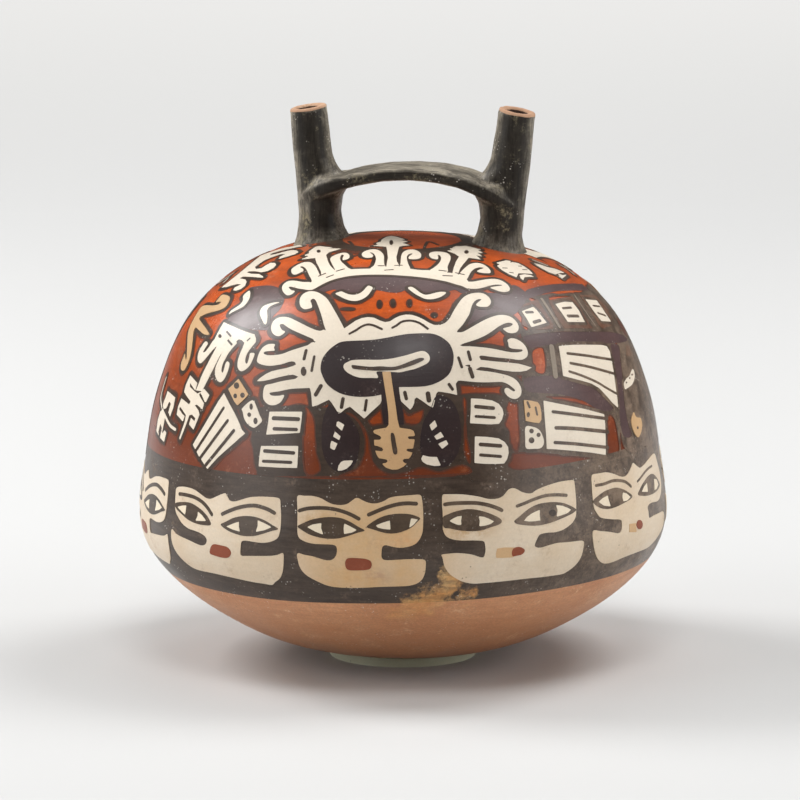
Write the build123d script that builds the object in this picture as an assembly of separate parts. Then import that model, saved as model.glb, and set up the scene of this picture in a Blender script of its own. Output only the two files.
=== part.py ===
from build123d import *
import os
from math import hypot, pi, radians, sin, tan

# A closed, hand-built double spout and bridge bottle, standing in a low support ring.
# Millimetres. +Z is up, the origin is on the surface that the ring stands on, below the body's axis.
# The two spouts stand in line along X. Every clay course, spout, strap, luting coil and slip coat
# is a solid of its own.

# Body of the bottle
body_radius = 85.7  # at the widest level, outside
body_height = 135.2  # from the lowest point of the bowl to the top of the crown
clay_wall = 5.0
slip_coat = 0.4  # a coat of coloured clay slip over the clay wall
coat_seat = 0.04  # between the clay wall and the coat on it

# Outside of the body from the bottom of the bowl to the middle of the crown:
# share of body_radius, share of body_height
profile_shares = [
    (0.000, 0.000),
    (0.257, 0.010),
    (0.490, 0.041),
    (0.700, 0.105),
    (0.887, 0.194),
    (0.982, 0.282),
    (1.000, 0.356),
    (0.984, 0.441),
    (0.945, 0.596),
    (0.898, 0.692),
    (0.823, 0.796),
    (0.706, 0.883),
    (0.548, 0.946),
    (0.350, 0.982),
    (0.000, 1.000),
]

widest_level_share = max(profile_shares)[1]

# Seams between the clay courses and between the coats, as shares of body_height
course_names = ["base_bowl", "lower_wall", "waist_wall", "shoulder_wall", "upper_wall", "crown_cap"]
course_seam_shares = [0.236, 0.390, 0.545, 0.700, 0.850]
bottom_seam_share = 0.55  # of body_radius, where the bowl was built up from its pressed bottom
seam_bevel = 2.0  # half the height of the bevelled scarf at each seam
band_low_share = 0.230
band_high_share = 0.527

# Painted head panels on the dark band
panel_count = 10
panel_coat = 0.3
panel_gap = 10.0  # the dark bar between two panels
panel_low_share = 0.266
panel_high_share = 0.486
panel_corner = 7.0

# Support ring
ring_inner_radius = 21.0
ring_wall = 3.0
ring_height = 3.1
ring_edge = 0.4
seat_gap = 0.3  # between the ring's inner edge and the bowl

# Spouts
spout_foot_radius = 6.6
spout_lip_radius = 6.0
spout_bore_radius = 3.4
spout_rise = 44.0  # from the crown to the lip, along the spout
spout_tail = 7.4  # from the crown down into the chamber, along the spout
left_foot = -27.6
right_foot = 30.9
left_lean = 5.8  # degrees, outwards
right_lean = 7.6
handle_setback = 4.0  # the spouts and the bridge stand this far behind the body's axis

# Luting coil round the foot of each spout
collar_rise = 8.5
collar_flare = 3.8
collar_skirt = 7.0  # how far the raw coil reaches down, before the crown trims it

# Bridge strap
strap_width = 21.0
strap_edge = 3.5  # thickness at its long edges
strap_crown = 1.9  # how much thicker it is along its middle
strap_spring = 12.4  # from the crown at the left spout up to where the strap springs
strap_rise = 11.7  # from there up to the strap's middle
strap_path_shares = [  # share of the span, share of strap_rise
    (0.000, 0.130),
    (0.070, 0.460),
    (0.130, 0.655),
    (0.230, 0.840),
    (0.373, 0.970),
    (0.518, 1.000),
    (0.663, 0.965),
    (0.792, 0.815),
    (0.873, 0.610),
    (0.935, 0.350),
    (1.000, 0.000),
]
strap_station_shares = [  # share of the path, of strap_width, of strap_edge, of strap_crown
    (0.00, 0.70, 1.50, 0.80),
    (0.09, 0.80, 1.20, 0.80),
    (0.18, 0.90, 1.00, 0.85),
    (0.30, 0.97, 1.00, 0.95),
    (0.42, 1.00, 1.00, 1.00),
    (0.54, 1.00, 1.00, 1.00),
    (0.66, 0.99, 1.00, 1.00),
    (0.78, 0.94, 1.00, 0.90),
    (0.88, 0.83, 1.25, 0.85),
    (1.00, 0.70, 1.60, 0.80),
]

# Web of luting clay below each end of the strap, down the inner side of the spout
web_wrap = 1.0  # how far it stands out at the spout's sides
web_offset = 1.9  # towards the other spout, from the spout's axis
web_top = 21.0  # from the crown up, along the spout

overrun = 20.0  # how far cutting shapes reach past what they cut
curve_steps = 28  # points that carry an inset outline
search_steps = 60
bowl_search_share = 0.3  # the ring's inner edge meets the outline within this share of its length


def raw_outline():
    """The body's outside, with the bowl's lowest point at the plane's origin."""
    points = [(r * body_radius, h * body_height) for r, h in profile_shares]
    return Spline(*points, tangents=[(1, 0), (-1, 0)])


def share_at(curve, wanted, coordinate, low=0.0, high=1.0):
    """The share of a curve's length where a coordinate that keeps rising reaches a value."""
    rising = coordinate(curve @ high) > coordinate(curve @ low)
    for _ in range(search_steps):
        middle = (low + high) / 2
        if (coordinate(curve @ middle) < wanted) == rising:
            low = middle
        else:
            high = middle
    return (low + high) / 2


def radius_at(curve, height):
    return (curve @ share_at(curve, height, lambda p: p.Y)).X


def crown_height_at(curve, radius):
    """Height of the curve's upper half at a radius."""
    widest = share_at(curve, level(widest_level_share), lambda p: p.Y)
    return (curve @ share_at(curve, radius, lambda p: p.X, widest, 1.0)).Y


# The bowl settles in the ring until it meets the ring's inner edge, short of the seat gap.
ring_meets_share = share_at(raw_outline(), ring_inner_radius, lambda p: p.X, 0.0, bowl_search_share)
bowl_rise_at_ring = (raw_outline() @ ring_meets_share).Y
base_height = ring_height + seat_gap - bowl_rise_at_ring


def outline(inset):
    """The body's outline, moved inwards by the inset."""
    raw = raw_outline()
    points = []
    for step in range(curve_steps + 1):
        place = raw @ (step / curve_steps)
        along = raw % (step / curve_steps)
        points.append((place.X - inset * along.Y, place.Y + inset * along.X + base_height))
    return Spline(*points, tangents=[(1, 0), (-1, 0)])


coat_outside = outline(0.0)
coat_inside = outline(slip_coat)
clay_outside = outline(slip_coat + coat_seat)
clay_inside = outline(slip_coat + coat_seat + clay_wall)


def level(share):
    return base_height + share * body_height


def between(outer, inner):
    """The flat region between two outlines, closed on the axis."""
    return make_face([outer, Line(outer @ 1, inner @ 1), inner, Line(inner @ 0, outer @ 0)])


def scarf(share):
    """A bevelled seam through the clay wall, from the axis to outside the body."""
    height = level(share)
    inside = radius_at(clay_inside, height - seam_bevel)
    outside = radius_at(clay_outside, height + seam_bevel)
    return [
        (0, height - seam_bevel),
        (inside, height - seam_bevel),
        (outside, height + seam_bevel),
        (body_radius + overrun, height + seam_bevel),
    ]


def straight(height):
    return [(0, height), (body_radius + overrun, height)]


def course(region, low_line, high_line):
    """The part of a region between two seams, turned about the body's axis."""
    band = make_face(Polyline(*low_line, *reversed(high_line), close=True))
    return revolve(Plane.YZ * (region & band), Axis.Z)


def filled(curve):
    """A solid of the whole shape inside an outline."""
    return revolve(Plane.YZ * make_face([curve, Line(curve @ 1, curve @ 0)]), Axis.Z)


floor_height = base_height - overrun
floor_line = straight(floor_height)
roof_line = straight(base_height + body_height + overrun)


def clay_courses():
    """The bowl's pressed bottom, its rim, the coil-built wall courses and the cap that closes the crown."""
    wall = between(clay_outside, clay_inside)
    bottom_edge = bottom_seam_share * body_radius
    bottom_top = level(course_seam_shares[0]) - seam_bevel
    seams = [scarf(share) for share in course_seam_shares]
    low_lines = [[(bottom_edge, floor_height), floor_line[1]]] + seams
    high_lines = [[(bottom_edge, bottom_top)] + seams[0][1:]] + seams[1:] + [roof_line]
    courses = {
        name: course(wall, low, high) for name, low, high in zip(course_names, low_lines, high_lines)
    }
    bottom_low = [(0, floor_height), (bottom_edge, floor_height)]
    bottom_high = [(0, bottom_top), (bottom_edge, bottom_top)]
    courses["bowl_bottom"] = course(wall, bottom_low, bottom_high)
    return courses


def slip_coats():
    """The three coats of slip: bare terracotta below, the dark band, the red shoulder."""
    coat = between(coat_outside, coat_inside)
    band_low, band_high = straight(level(band_low_share)), straight(level(band_high_share))
    return {
        "base_slip": course(coat, floor_line, band_low),
        "band_slip": course(coat, band_low, band_high),
        "shoulder_slip": course(coat, band_high, roof_line),
    }


def head_panels():
    """Cream slip panels in a row round the dark band, with round lower corners."""
    panel_width = 2 * body_radius * sin(pi / panel_count) - panel_gap
    low, high = level(panel_low_share), level(panel_high_share)
    coat = course(between(outline(-panel_coat), coat_outside), straight(low), straight(high))
    face = Pos(0, (low + high) / 2) * Rectangle(panel_width, high - low)
    face = fillet(face.vertices().group_by(Axis.Y)[0], panel_corner)
    panel = coat & extrude(Plane.XZ * face, body_radius + overrun)
    return [Rot(0, 0, 360 / panel_count * turn) * panel for turn in range(panel_count)]


def foot_height(foot):
    """Height of the crown where a spout's axis meets it."""
    return crown_height_at(coat_outside, hypot(foot, handle_setback))


def spout_place(foot, lean):
    """The frame of a spout: its origin on the crown, its Z up along the spout."""
    return Pos(foot, handle_setback, foot_height(foot)) * Rot(0, lean, 0)


def spout_stem():
    """The outside of a spout as a solid, standing on the frame's origin."""
    stem = Polyline(
        (0, -spout_tail), (spout_foot_radius, -spout_tail), (spout_foot_radius, 0),
        (spout_lip_radius, spout_rise), (0, spout_rise), close=True,
    )
    return revolve(Plane.XZ * make_face(stem), Axis.Z)


def spout_bore():
    length = spout_rise + spout_tail + 2 * overrun
    return Pos(0, 0, -spout_tail - overrun) * Cylinder(
        spout_bore_radius, length, align=(Align.CENTER, Align.CENTER, Align.MIN)
    )


def stem_radius(height):
    """A spout's radius at a height along it."""
    return spout_foot_radius + (spout_lip_radius - spout_foot_radius) * height / spout_rise


def collar_blank():
    """A luting coil smoothed into a flare round a spout's foot, before the crown trims it."""
    top = (stem_radius(collar_rise), collar_rise)
    foot = (spout_foot_radius + collar_flare, 0)
    skirt = (spout_foot_radius + collar_flare + collar_skirt, -collar_skirt)
    flare = TangentArc(foot, top, tangent=(foot[0] - skirt[0], foot[1] - skirt[1]))
    edges = [flare, Line(top, (0, collar_rise)), Line((0, collar_rise), (0, -collar_skirt)),
             Line((0, -collar_skirt), skirt), Line(skirt, foot)]
    return revolve(Plane.XZ * make_face(edges), Axis.Z)


def web_blank(inwards):
    """A round post beside the spout's axis, which the spout, the strap and the collar trim."""
    return Pos(inwards * web_offset, 0, 0) * Cylinder(
        spout_foot_radius + web_wrap, web_top, align=(Align.CENTER, Align.CENTER, Align.MIN)
    )


def strap_blank():
    """The bridge strap, from the axis of one spout to the axis of the other."""
    spring = foot_height(left_foot) + strap_spring
    left = left_foot - strap_spring * tan(radians(left_lean))
    right = right_foot + strap_spring * tan(radians(right_lean))
    span = right - left
    path = Plane.XZ * Spline(*[(left + u * span, spring + v * strap_rise) for u, v in strap_path_shares])
    sections = []
    for place, width_share, edge_share, crown_share in strap_station_shares:
        half = strap_width * width_share / 2
        edge = strap_edge * edge_share
        low, high = -edge / 2, edge / 2
        rim = Polyline((-half, high), (-half, low), (half, low), (half, high))
        top = ThreePointArc((half, high), (0, high + strap_crown * crown_share), (-half, high))
        frame = Plane(origin=path @ place, x_dir=(0, 1, 0), z_dir=path % place)
        sections.append(frame * make_face([rim, top]))
    return Pos(0, handle_setback, 0) * loft(sections)


def support_ring():
    """The low ring that the round-bottomed bowl stands in."""
    section = Pos(ring_inner_radius + ring_wall / 2, ring_height / 2) * Rectangle(ring_wall, ring_height)
    top_corners = section.vertices().group_by(Axis.Y)[-1]
    return revolve(Plane.XZ * chamfer(top_corners, ring_edge), Axis.Z)


def build():
    """All nodes of the bottle and its ring, by name."""
    parts = clay_courses()
    coats = slip_coats()
    body = filled(clay_outside)
    strap = strap_blank()
    for side, foot, lean in (("left", left_foot, -left_lean), ("right", right_foot, right_lean)):
        place = spout_place(foot, lean)
        inwards = -1 if foot > 0 else 1
        stem = place * spout_stem()
        collar = place * collar_blank()
        strap -= stem
        parts["crown_cap"] -= stem
        coats["shoulder_slip"] -= collar
        parts[side + "_spout"] = stem - place * spout_bore()
        parts[side + "_spout_collar"] = collar - body - stem
        parts[side + "_bridge_web"] = place * web_blank(inwards) - stem - collar - body
    strap = strap.solids().sort_by(SortBy.VOLUME)[-1]
    for side in ("left", "right"):
        parts[side + "_bridge_web"] -= strap
    parts["bridge_strap"] = strap
    parts.update(coats)
    parts["head_panels"] = Compound(head_panels())
    parts["support_ring"] = support_ring()
    return parts


os.makedirs("parts", exist_ok=True)
for name, shape in build().items():
    shape.label = name
    export_step(shape, f"parts/{name}.step")
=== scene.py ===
import bmesh
import bpy
import math
import numpy as np
from bpy.props import FloatProperty, PointerProperty
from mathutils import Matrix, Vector, geometry, noise


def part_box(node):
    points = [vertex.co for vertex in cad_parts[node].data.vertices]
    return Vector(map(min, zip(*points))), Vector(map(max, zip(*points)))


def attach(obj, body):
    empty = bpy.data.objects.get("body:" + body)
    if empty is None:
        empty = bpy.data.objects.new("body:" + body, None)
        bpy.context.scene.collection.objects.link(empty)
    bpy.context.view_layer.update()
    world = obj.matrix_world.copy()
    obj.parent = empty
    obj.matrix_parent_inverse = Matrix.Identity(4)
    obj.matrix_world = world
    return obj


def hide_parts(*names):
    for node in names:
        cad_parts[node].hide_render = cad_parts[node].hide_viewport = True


bl_info = {
    "name": "Double Spout Bottle",
    "version": (1, 0, 0),
    "blender": (4, 5, 0),
    "location": "3D View > Sidebar > Bottle",
    "description": "Slip-painted double spout and bridge bottle on its support ring",
    "category": "Object",
}

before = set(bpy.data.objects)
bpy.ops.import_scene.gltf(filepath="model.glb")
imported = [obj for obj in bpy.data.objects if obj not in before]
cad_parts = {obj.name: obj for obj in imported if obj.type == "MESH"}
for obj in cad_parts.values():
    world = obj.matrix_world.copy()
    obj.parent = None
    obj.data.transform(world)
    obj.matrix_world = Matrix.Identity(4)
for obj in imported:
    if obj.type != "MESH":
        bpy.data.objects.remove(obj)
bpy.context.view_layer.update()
MM = 0.001

# The camera stands where the photograph was taken from.
CAMERA_DISTANCE = 2.2
CAMERA_ELEVATION = math.radians(10.0)
CAMERA_AZIMUTH = math.radians(10.0)
TARGET_HEIGHT = 0.084
AXIS_PIXEL = 403.0  # the body's axis, across the photograph
PICTURE = 800.0
PIXELS_PER_METRE = 3065.0  # at the body's axis
SENSOR = 36.0
NEAR_SIDE, FAR_SIDE = 0.13, 0.03  # how far before and behind the axis the body is looked for along a ray

# Outside of the body, from the bottom of the bowl to the middle of the crown:
# share of the widest radius, share of the height
PROFILE_SHARES = [
    (0.000, 0.000), (0.257, 0.010), (0.490, 0.041), (0.700, 0.105), (0.887, 0.194),
    (0.982, 0.282), (1.000, 0.356), (0.984, 0.441), (0.945, 0.596), (0.898, 0.692),
    (0.823, 0.796), (0.706, 0.883), (0.548, 0.946), (0.350, 0.982), (0.000, 1.000),
]
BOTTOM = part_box("base_slip")[0].z
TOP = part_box("shoulder_slip")[1].z
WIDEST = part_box("band_slip")[1].y
BAND_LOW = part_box("band_slip")[0].z
BAND_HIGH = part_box("band_slip")[1].z
BAND_TILT = 0.030  # how much the painted bands rise towards the photograph's right
COAT = 0.35 * MM
NARROWEST = 4 * MM  # rows of the unrolled body are never taken round a smaller circle
SHARP, SHARP_RIM = 0.9, 1.1  # edges that turn by more than this, in radians, stay crisp
TURNS = 240  # steps round the body

# Heights of the slip layers over the ground coat
WASH, OUTLINE, FILL, DETAIL = 0.05 * MM, 0.11 * MM, 0.17 * MM, 0.23 * MM


def cubic_through(points, ends, count):
    """Points of the smooth curve through some points, level at both ends."""
    points = np.array(points, float)
    steps = np.linalg.norm(np.diff(points, axis=0), axis=1)
    knots = np.concatenate([[0], np.cumsum(steps)])
    size = len(points)
    left, right = np.zeros((size, size)), np.zeros((size, 2))
    left[0, 0] = left[-1, -1] = 1
    right[0], right[-1] = ends
    for i in range(1, size - 1):
        a, b = steps[i - 1], steps[i]
        left[i, i - 1:i + 2] = b, 2 * (a + b), a
        right[i] = 3 * (b / a * (points[i] - points[i - 1]) + a / b * (points[i + 1] - points[i]))
    slopes = np.linalg.solve(left, right)
    at = np.linspace(0, knots[-1], count)
    i = np.clip(np.searchsorted(knots, at, side="right") - 1, 0, size - 2)
    h = steps[i][:, None]
    t = ((at - knots[i]) / steps[i])[:, None]
    return ((2 * t**3 - 3 * t**2 + 1) * points[i] + (t**3 - 2 * t**2 + t) * h * slopes[i]
            + (3 * t**2 - 2 * t**3) * points[i + 1] + (t**3 - t**2) * h * slopes[i + 1])


PROFILE = cubic_through(
    [(r * WIDEST, BOTTOM + h * (TOP - BOTTOM)) for r, h in PROFILE_SHARES], ((1, 0), (-1, 0)), 900
)
RADII, HEIGHTS = PROFILE[:, 0], PROFILE[:, 1]
ALONG = np.gradient(PROFILE, axis=0)
ALONG /= np.linalg.norm(ALONG, axis=1)[:, None]
NORMALS = np.stack([ALONG[:, 1], -ALONG[:, 0]], axis=1)
# Rows of the unrolled surface, spaced so that a small shape keeps its proportions everywhere
STEPS = np.linalg.norm(np.diff(PROFILE, axis=0), axis=1)
MIDDLES = np.maximum((RADII[1:] + RADII[:-1]) / 2, NARROWEST)
ROWS = np.concatenate([[0], np.cumsum(STEPS * WIDEST / MIDDLES)])


def lumps(p):
    """How far the hand-built wall swells at a place."""
    broad = noise.noise(p / (45 * MM) + Vector((3.1, 7.7, 1.3)))
    small = noise.noise(p / (14 * MM) + Vector((9.2, 2.4, 5.5)))
    return (0.30 * (broad + 1) + 0.07 * (small + 1)) * MM


def fade(level):
    """The tilt of the bands dies out towards the bottom and the crown."""
    low = np.clip((level - BOTTOM) / (12 * MM), 0, 1)
    high = np.clip((TOP - level) / (14 * MM), 0, 1)
    return low * high


def on_body(turns, levels, lifts, tilted=True):
    """Places on the body at turns from the photograph's front, tilted levels, and lifts over the coat."""
    turns, levels, lifts = np.broadcast_arrays(turns, levels, lifts)
    z = levels
    for _ in range(2 if tilted else 0):
        z = levels + BAND_TILT * np.interp(z, HEIGHTS, RADII) * np.sin(turns) * fade(levels)
    r = np.interp(z, HEIGHTS, RADII)
    out_r, out_z = np.interp(z, HEIGHTS, NORMALS[:, 0]), np.interp(z, HEIGHTS, NORMALS[:, 1])
    side, front = np.sin(turns + CAMERA_AZIMUTH), -np.cos(turns + CAMERA_AZIMUTH)
    places = np.stack([r * side, r * front, z], axis=1)
    swell = lifts + np.array([lumps(Vector(place)) for place in places])
    return places + np.stack([out_r * side, out_r * front, out_z], axis=1) * swell[:, None]


def camera_frame():
    """The camera's place, and its right, up and forward directions."""
    a, e = CAMERA_AZIMUTH, CAMERA_ELEVATION
    right = Vector((math.cos(a), math.sin(a), 0))
    back = Vector((math.sin(a) * math.cos(e), -math.cos(a) * math.cos(e), math.sin(e)))
    aim = Vector((0, 0, TARGET_HEIGHT)) - right * ((AXIS_PIXEL - PICTURE / 2) / PIXELS_PER_METRE)
    return aim + back * CAMERA_DISTANCE, right, back.cross(right), -back


def on_photograph(pixels):
    """Where pixels of the photograph lie on the body: turn, radius and height."""
    place, right, up, forward = camera_frame()
    focal = PIXELS_PER_METRE * CAMERA_DISTANCE
    px = np.array(pixels, float)
    rays = (np.array(forward) * focal + np.array(right) * (px[:, :1] - PICTURE / 2)
            + np.array(up) * (PICTURE / 2 - px[:, 1:]))
    rays /= np.linalg.norm(rays, axis=1)[:, None]
    depth = np.linspace(CAMERA_DISTANCE - NEAR_SIDE, CAMERA_DISTANCE + FAR_SIDE, 700)
    spots = np.array(place) + rays[:, None, :] * depth[None, :, None]
    gap = np.hypot(spots[..., 0], spots[..., 1]) - np.interp(spots[..., 2], HEIGHTS, RADII)
    inside = gap < 0
    first = np.where(inside.any(axis=1), inside.argmax(axis=1), gap.argmin(axis=1))
    out = []
    for i, k in enumerate(first):
        spot = spots[i, k]
        if inside[i, k] and k > 0:
            share = gap[i, k - 1] / (gap[i, k - 1] - gap[i, k])
            spot = spots[i, k - 1] + (spots[i, k] - spots[i, k - 1]) * share
        turn = math.atan2(spot[0], -spot[1]) - CAMERA_AZIMUTH
        out.append((turn, math.hypot(spot[0], spot[1]), spot[2]))
    return np.array(out).T


# Painted figures, picked on the photograph. Each shape is a kind, a layer and its points in
# pixels of the photograph: "round" is a smooth outline, "sharp" keeps its corners, "line" is a brush
# stroke with its width first, "dot" is a centre and two radii.
DIADEM = [
    ("round", "cream", 311, 284.4, 320, 277, 335, 271.5, 350, 270.9, 360, 270.3, 371, 270, 385, 268, 400, 268,
     410, 269.8, 420, 271, 430, 271.2, 440, 273, 452, 274, 462, 277, 468, 282.6, 468, 289.4, 462, 287, 455, 285,
     447, 282.5, 438, 280.6, 428, 279, 415, 277.6, 400, 276.6, 385, 276, 370, 276, 355, 276.8, 345, 278.2,
     335, 280.6, 327, 283.6, 320, 287.2, 315, 290, 311, 291),
    ("round", "cream", 312, 284.2, 303, 283.4, 296, 282.2, 290, 282.2, 286, 284, 283.2, 287, 282.8, 290.5,
     284.5, 294, 287.5, 296.4, 290.5, 296.4, 293.5, 294.8, 295.3, 292.4, 292.2, 291.6, 289.8, 289.6, 289.6, 288.2,
     292, 288, 297, 289.4, 304, 290.6, 312, 291),
    ("round", "cream", 313.5, 284, 311.5, 280, 309, 275.5, 307.5, 272, 305, 269, 302.5, 268, 300.3, 268.6, 303, 270,
     304, 271.5, 303, 273, 300, 274.5, 297, 275.8, 294.5, 276, 292.5, 274.8, 291.7, 272.5, 292.5, 270.2, 296, 267.6,
     301, 265, 305, 263.8, 310, 263.7, 313.5, 265.5, 316.5, 269, 319, 274, 321, 279, 319, 284),
    ("sharp", "cream", 316, 248.6, 320, 247.8, 326, 248.5, 333, 249, 327.5, 250.0, 341.3, 250.4, 335, 252.3,
     329.6, 253.8, 326.6, 256.3, 327.4, 260, 329, 264.5, 331.5, 268.5, 334, 270.8, 340, 277, 322, 280, 321.3, 273,
     319, 268, 316.4, 263, 315.6, 259.6, 309.5, 260.2, 301.8, 260.9, 306.5, 258.9, 309.3, 257.8, 304.8, 256.9,
     309.6, 254.8, 309, 253.4, 312, 251.2),
    ("round", "cream", 338, 276, 335, 270.5, 331.8, 264.5, 330.5, 261, 332, 258.5, 336, 256.5, 340, 255.2, 344, 254.4,
     347.5, 255, 349.6, 257, 349.4, 259.4, 347, 261, 344, 261.7, 342.8, 261.4, 343.2, 258.8, 344, 257, 342.3, 256.4,
     340.8, 257.8, 340.3, 260.2, 341.2, 262.8, 344.5, 266, 348.5, 269.5, 352, 271.5, 352, 277),
    ("round", "cream", 371, 270.5, 374, 266.8, 375.6, 263, 376, 259.5, 374.8, 256.2, 372.2, 254.2, 370, 254.2,
     372, 255.6, 373.4, 257.2, 371.6, 258.8, 367, 259.3, 363.4, 258.3, 361.9, 256.2, 363.2, 254, 367.5, 252,
     373, 251, 378, 251.6, 382, 254, 384, 257.5, 384, 262, 384.5, 266, 386, 271),
    ("round", "cream", 399.5, 271, 400.6, 264, 401, 258, 402.4, 254.4, 405.5, 252, 410, 250.9, 415, 251.2, 419, 253,
     421.2, 255.8, 420.4, 258.6, 417, 260, 412, 260.2, 408.6, 259.6, 409.4, 257.2, 412.6, 255, 410.8, 254.6,
     408, 255.8, 406.8, 258.5, 407.2, 262, 408.6, 266, 409.6, 270),
    ("round", "cream", 430, 271.4, 433.5, 268.8, 437.6, 265.4, 440.4, 261.8, 441, 258.8, 439.8, 256.4, 437.6, 256.2,
     438.2, 258, 437.6, 260, 434, 259.8, 430.6, 258.4, 429, 256.2, 429.6, 254.2, 433, 253.1, 438, 252.8, 444, 253.4,
     448, 254.8, 450.4, 257.4, 450.2, 261, 448.6, 264.4, 447.4, 268, 447, 273, 436, 275),
    ("sharp", "cream", 455, 249.2, 452, 248.9, 456, 247.6, 461, 247.6, 465, 247.2, 470, 248.2, 475, 249.6, 481, 251,
     477.5, 251.4, 482.8, 254.4, 477, 254, 482, 257.6, 476, 256.6, 480.4, 260.6, 474, 259.6, 468.5, 258.8,
     467, 260.5, 463.5, 264.5, 460.5, 268.5, 459, 271.6, 458, 275, 452, 275, 453.6, 268.5, 455.6, 263, 458.8, 257.6,
     455, 255, 447, 252, 452, 251.6, 449.5, 250),
    ("round", "cream", 456, 283, 458.5, 276, 461, 272.5, 464.5, 269, 469, 265.5, 474, 264, 479, 264.2, 484, 266,
     488, 268.8, 490.3, 272, 489.8, 274.1, 486, 274.3, 481, 273.8, 476.8, 272.4, 479.5, 270.6, 483.5, 269, 480, 268.3,
     476, 269, 472.5, 271, 470, 274, 468.3, 277.5, 465.5, 281.5, 462, 284),
    ("round", "cream", 460, 283.4, 466, 282.6, 472, 282.8, 480, 281.5, 488, 280.3, 495, 280.2, 501, 281.8, 506, 285,
     509, 288.8, 508.8, 291.8, 505, 293.2, 500, 292.8, 494, 290.8, 490, 288.9, 494, 287.8, 500, 287, 502, 286.2,
     496, 285.8, 489.5, 286.8, 484, 288.4, 478, 289.6, 472, 289.8, 468, 289.2, 462, 287, 458, 285.5),
    ("dot", "detail", 319, 253, 2, 1.4), ("dot", "detail", 466.3, 253.4, 2.2, 1.7),
    ("line", "detail", 1.5, 336.8, 272.8, 344.4, 270.6), ("line", "detail", 1.5, 319.2, 277.8, 325.8, 275),
    ("line", "detail", 1.5, 327, 279, 333.5, 276.6), ("line", "detail", 1.5, 378.5, 267.2, 384, 267.2),
    ("line", "detail", 1.5, 385, 271.6, 393, 271), ("line", "detail", 1.5, 395, 266.8, 402, 266.5),
    ("line", "detail", 1.5, 439, 271.2, 446, 272), ("line", "detail", 1.5, 443, 276.5, 452, 277),
    ("line", "detail", 1.5, 455.5, 273.8, 464, 275.6),
]
PLUME = [
    ("sharp", "cream", 391, 237.7, 395.5, 238.4, 400, 239.8, 405, 241.2, 401, 242.2, 408, 243.3, 402, 244.6,
     409.8, 246.8, 403, 247.4, 399.3, 248.2, 398, 252, 396.4, 258, 397, 263, 399, 266, 399, 272, 386, 272, 387, 264,
     388, 259, 387.2, 252, 386.3, 248.4, 380, 248, 372.8, 247.6, 378, 246.6, 376, 245, 381, 243.4, 381.5, 241.4,
     386, 239),
    ("dot", "detail", 391.3, 244.4, 1.9, 2.3), ("line", "dark", 3, 349, 243, 353, 247, 352, 252),
    ("line", "dark", 3, 424, 250, 428, 243, 438, 246),
]
EYES = [
    ("round", "purple", 313, 290, 322, 286.5, 335, 281, 350, 277.5, 370, 276, 400, 276.5, 425, 279, 445, 282.5,
     460, 287, 469, 291, 462, 294, 455, 290.5, 446, 293, 441, 297.6, 432, 299.4, 425.5, 299, 419, 296.4, 413, 292.8,
     408, 288, 403, 292, 396, 293.5, 388, 293, 380, 291.5, 373, 291, 367, 296, 361, 300.4, 352, 301, 344, 298.6,
     338, 294.6, 335, 290.5, 325, 293, 318, 292.5),
    ("round", "cream", 335.8, 295, 339, 293.3, 342, 292.8, 346, 294.5, 350, 295.8, 355, 296, 360, 294.5, 364, 291.5,
     366.5, 288.5, 369, 287, 372.8, 289, 371, 292.5, 368, 296.5, 363, 300, 357, 302, 351, 301.8, 345, 300,
     340, 297.4),
    ("round", "cream", 408, 289, 411.5, 287.8, 415.5, 290, 420, 293.5, 425, 295.6, 430, 295, 436, 293.4, 441, 292.6,
     445.8, 293.2, 444, 295.5, 439, 298.3, 432, 300, 425.5, 299.8, 419, 297, 413, 293.4),
    ("dot", "dark", 379.5, 305, 2.5, 4), ("dot", "dark", 393, 304, 2.5, 4), ("dot", "dark", 409.5, 304, 2.2, 3.6),
    ("dot", "dark", 348, 310, 7, 1.4), ("dot", "dark", 434, 316, 3, 2.4),
]
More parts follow.
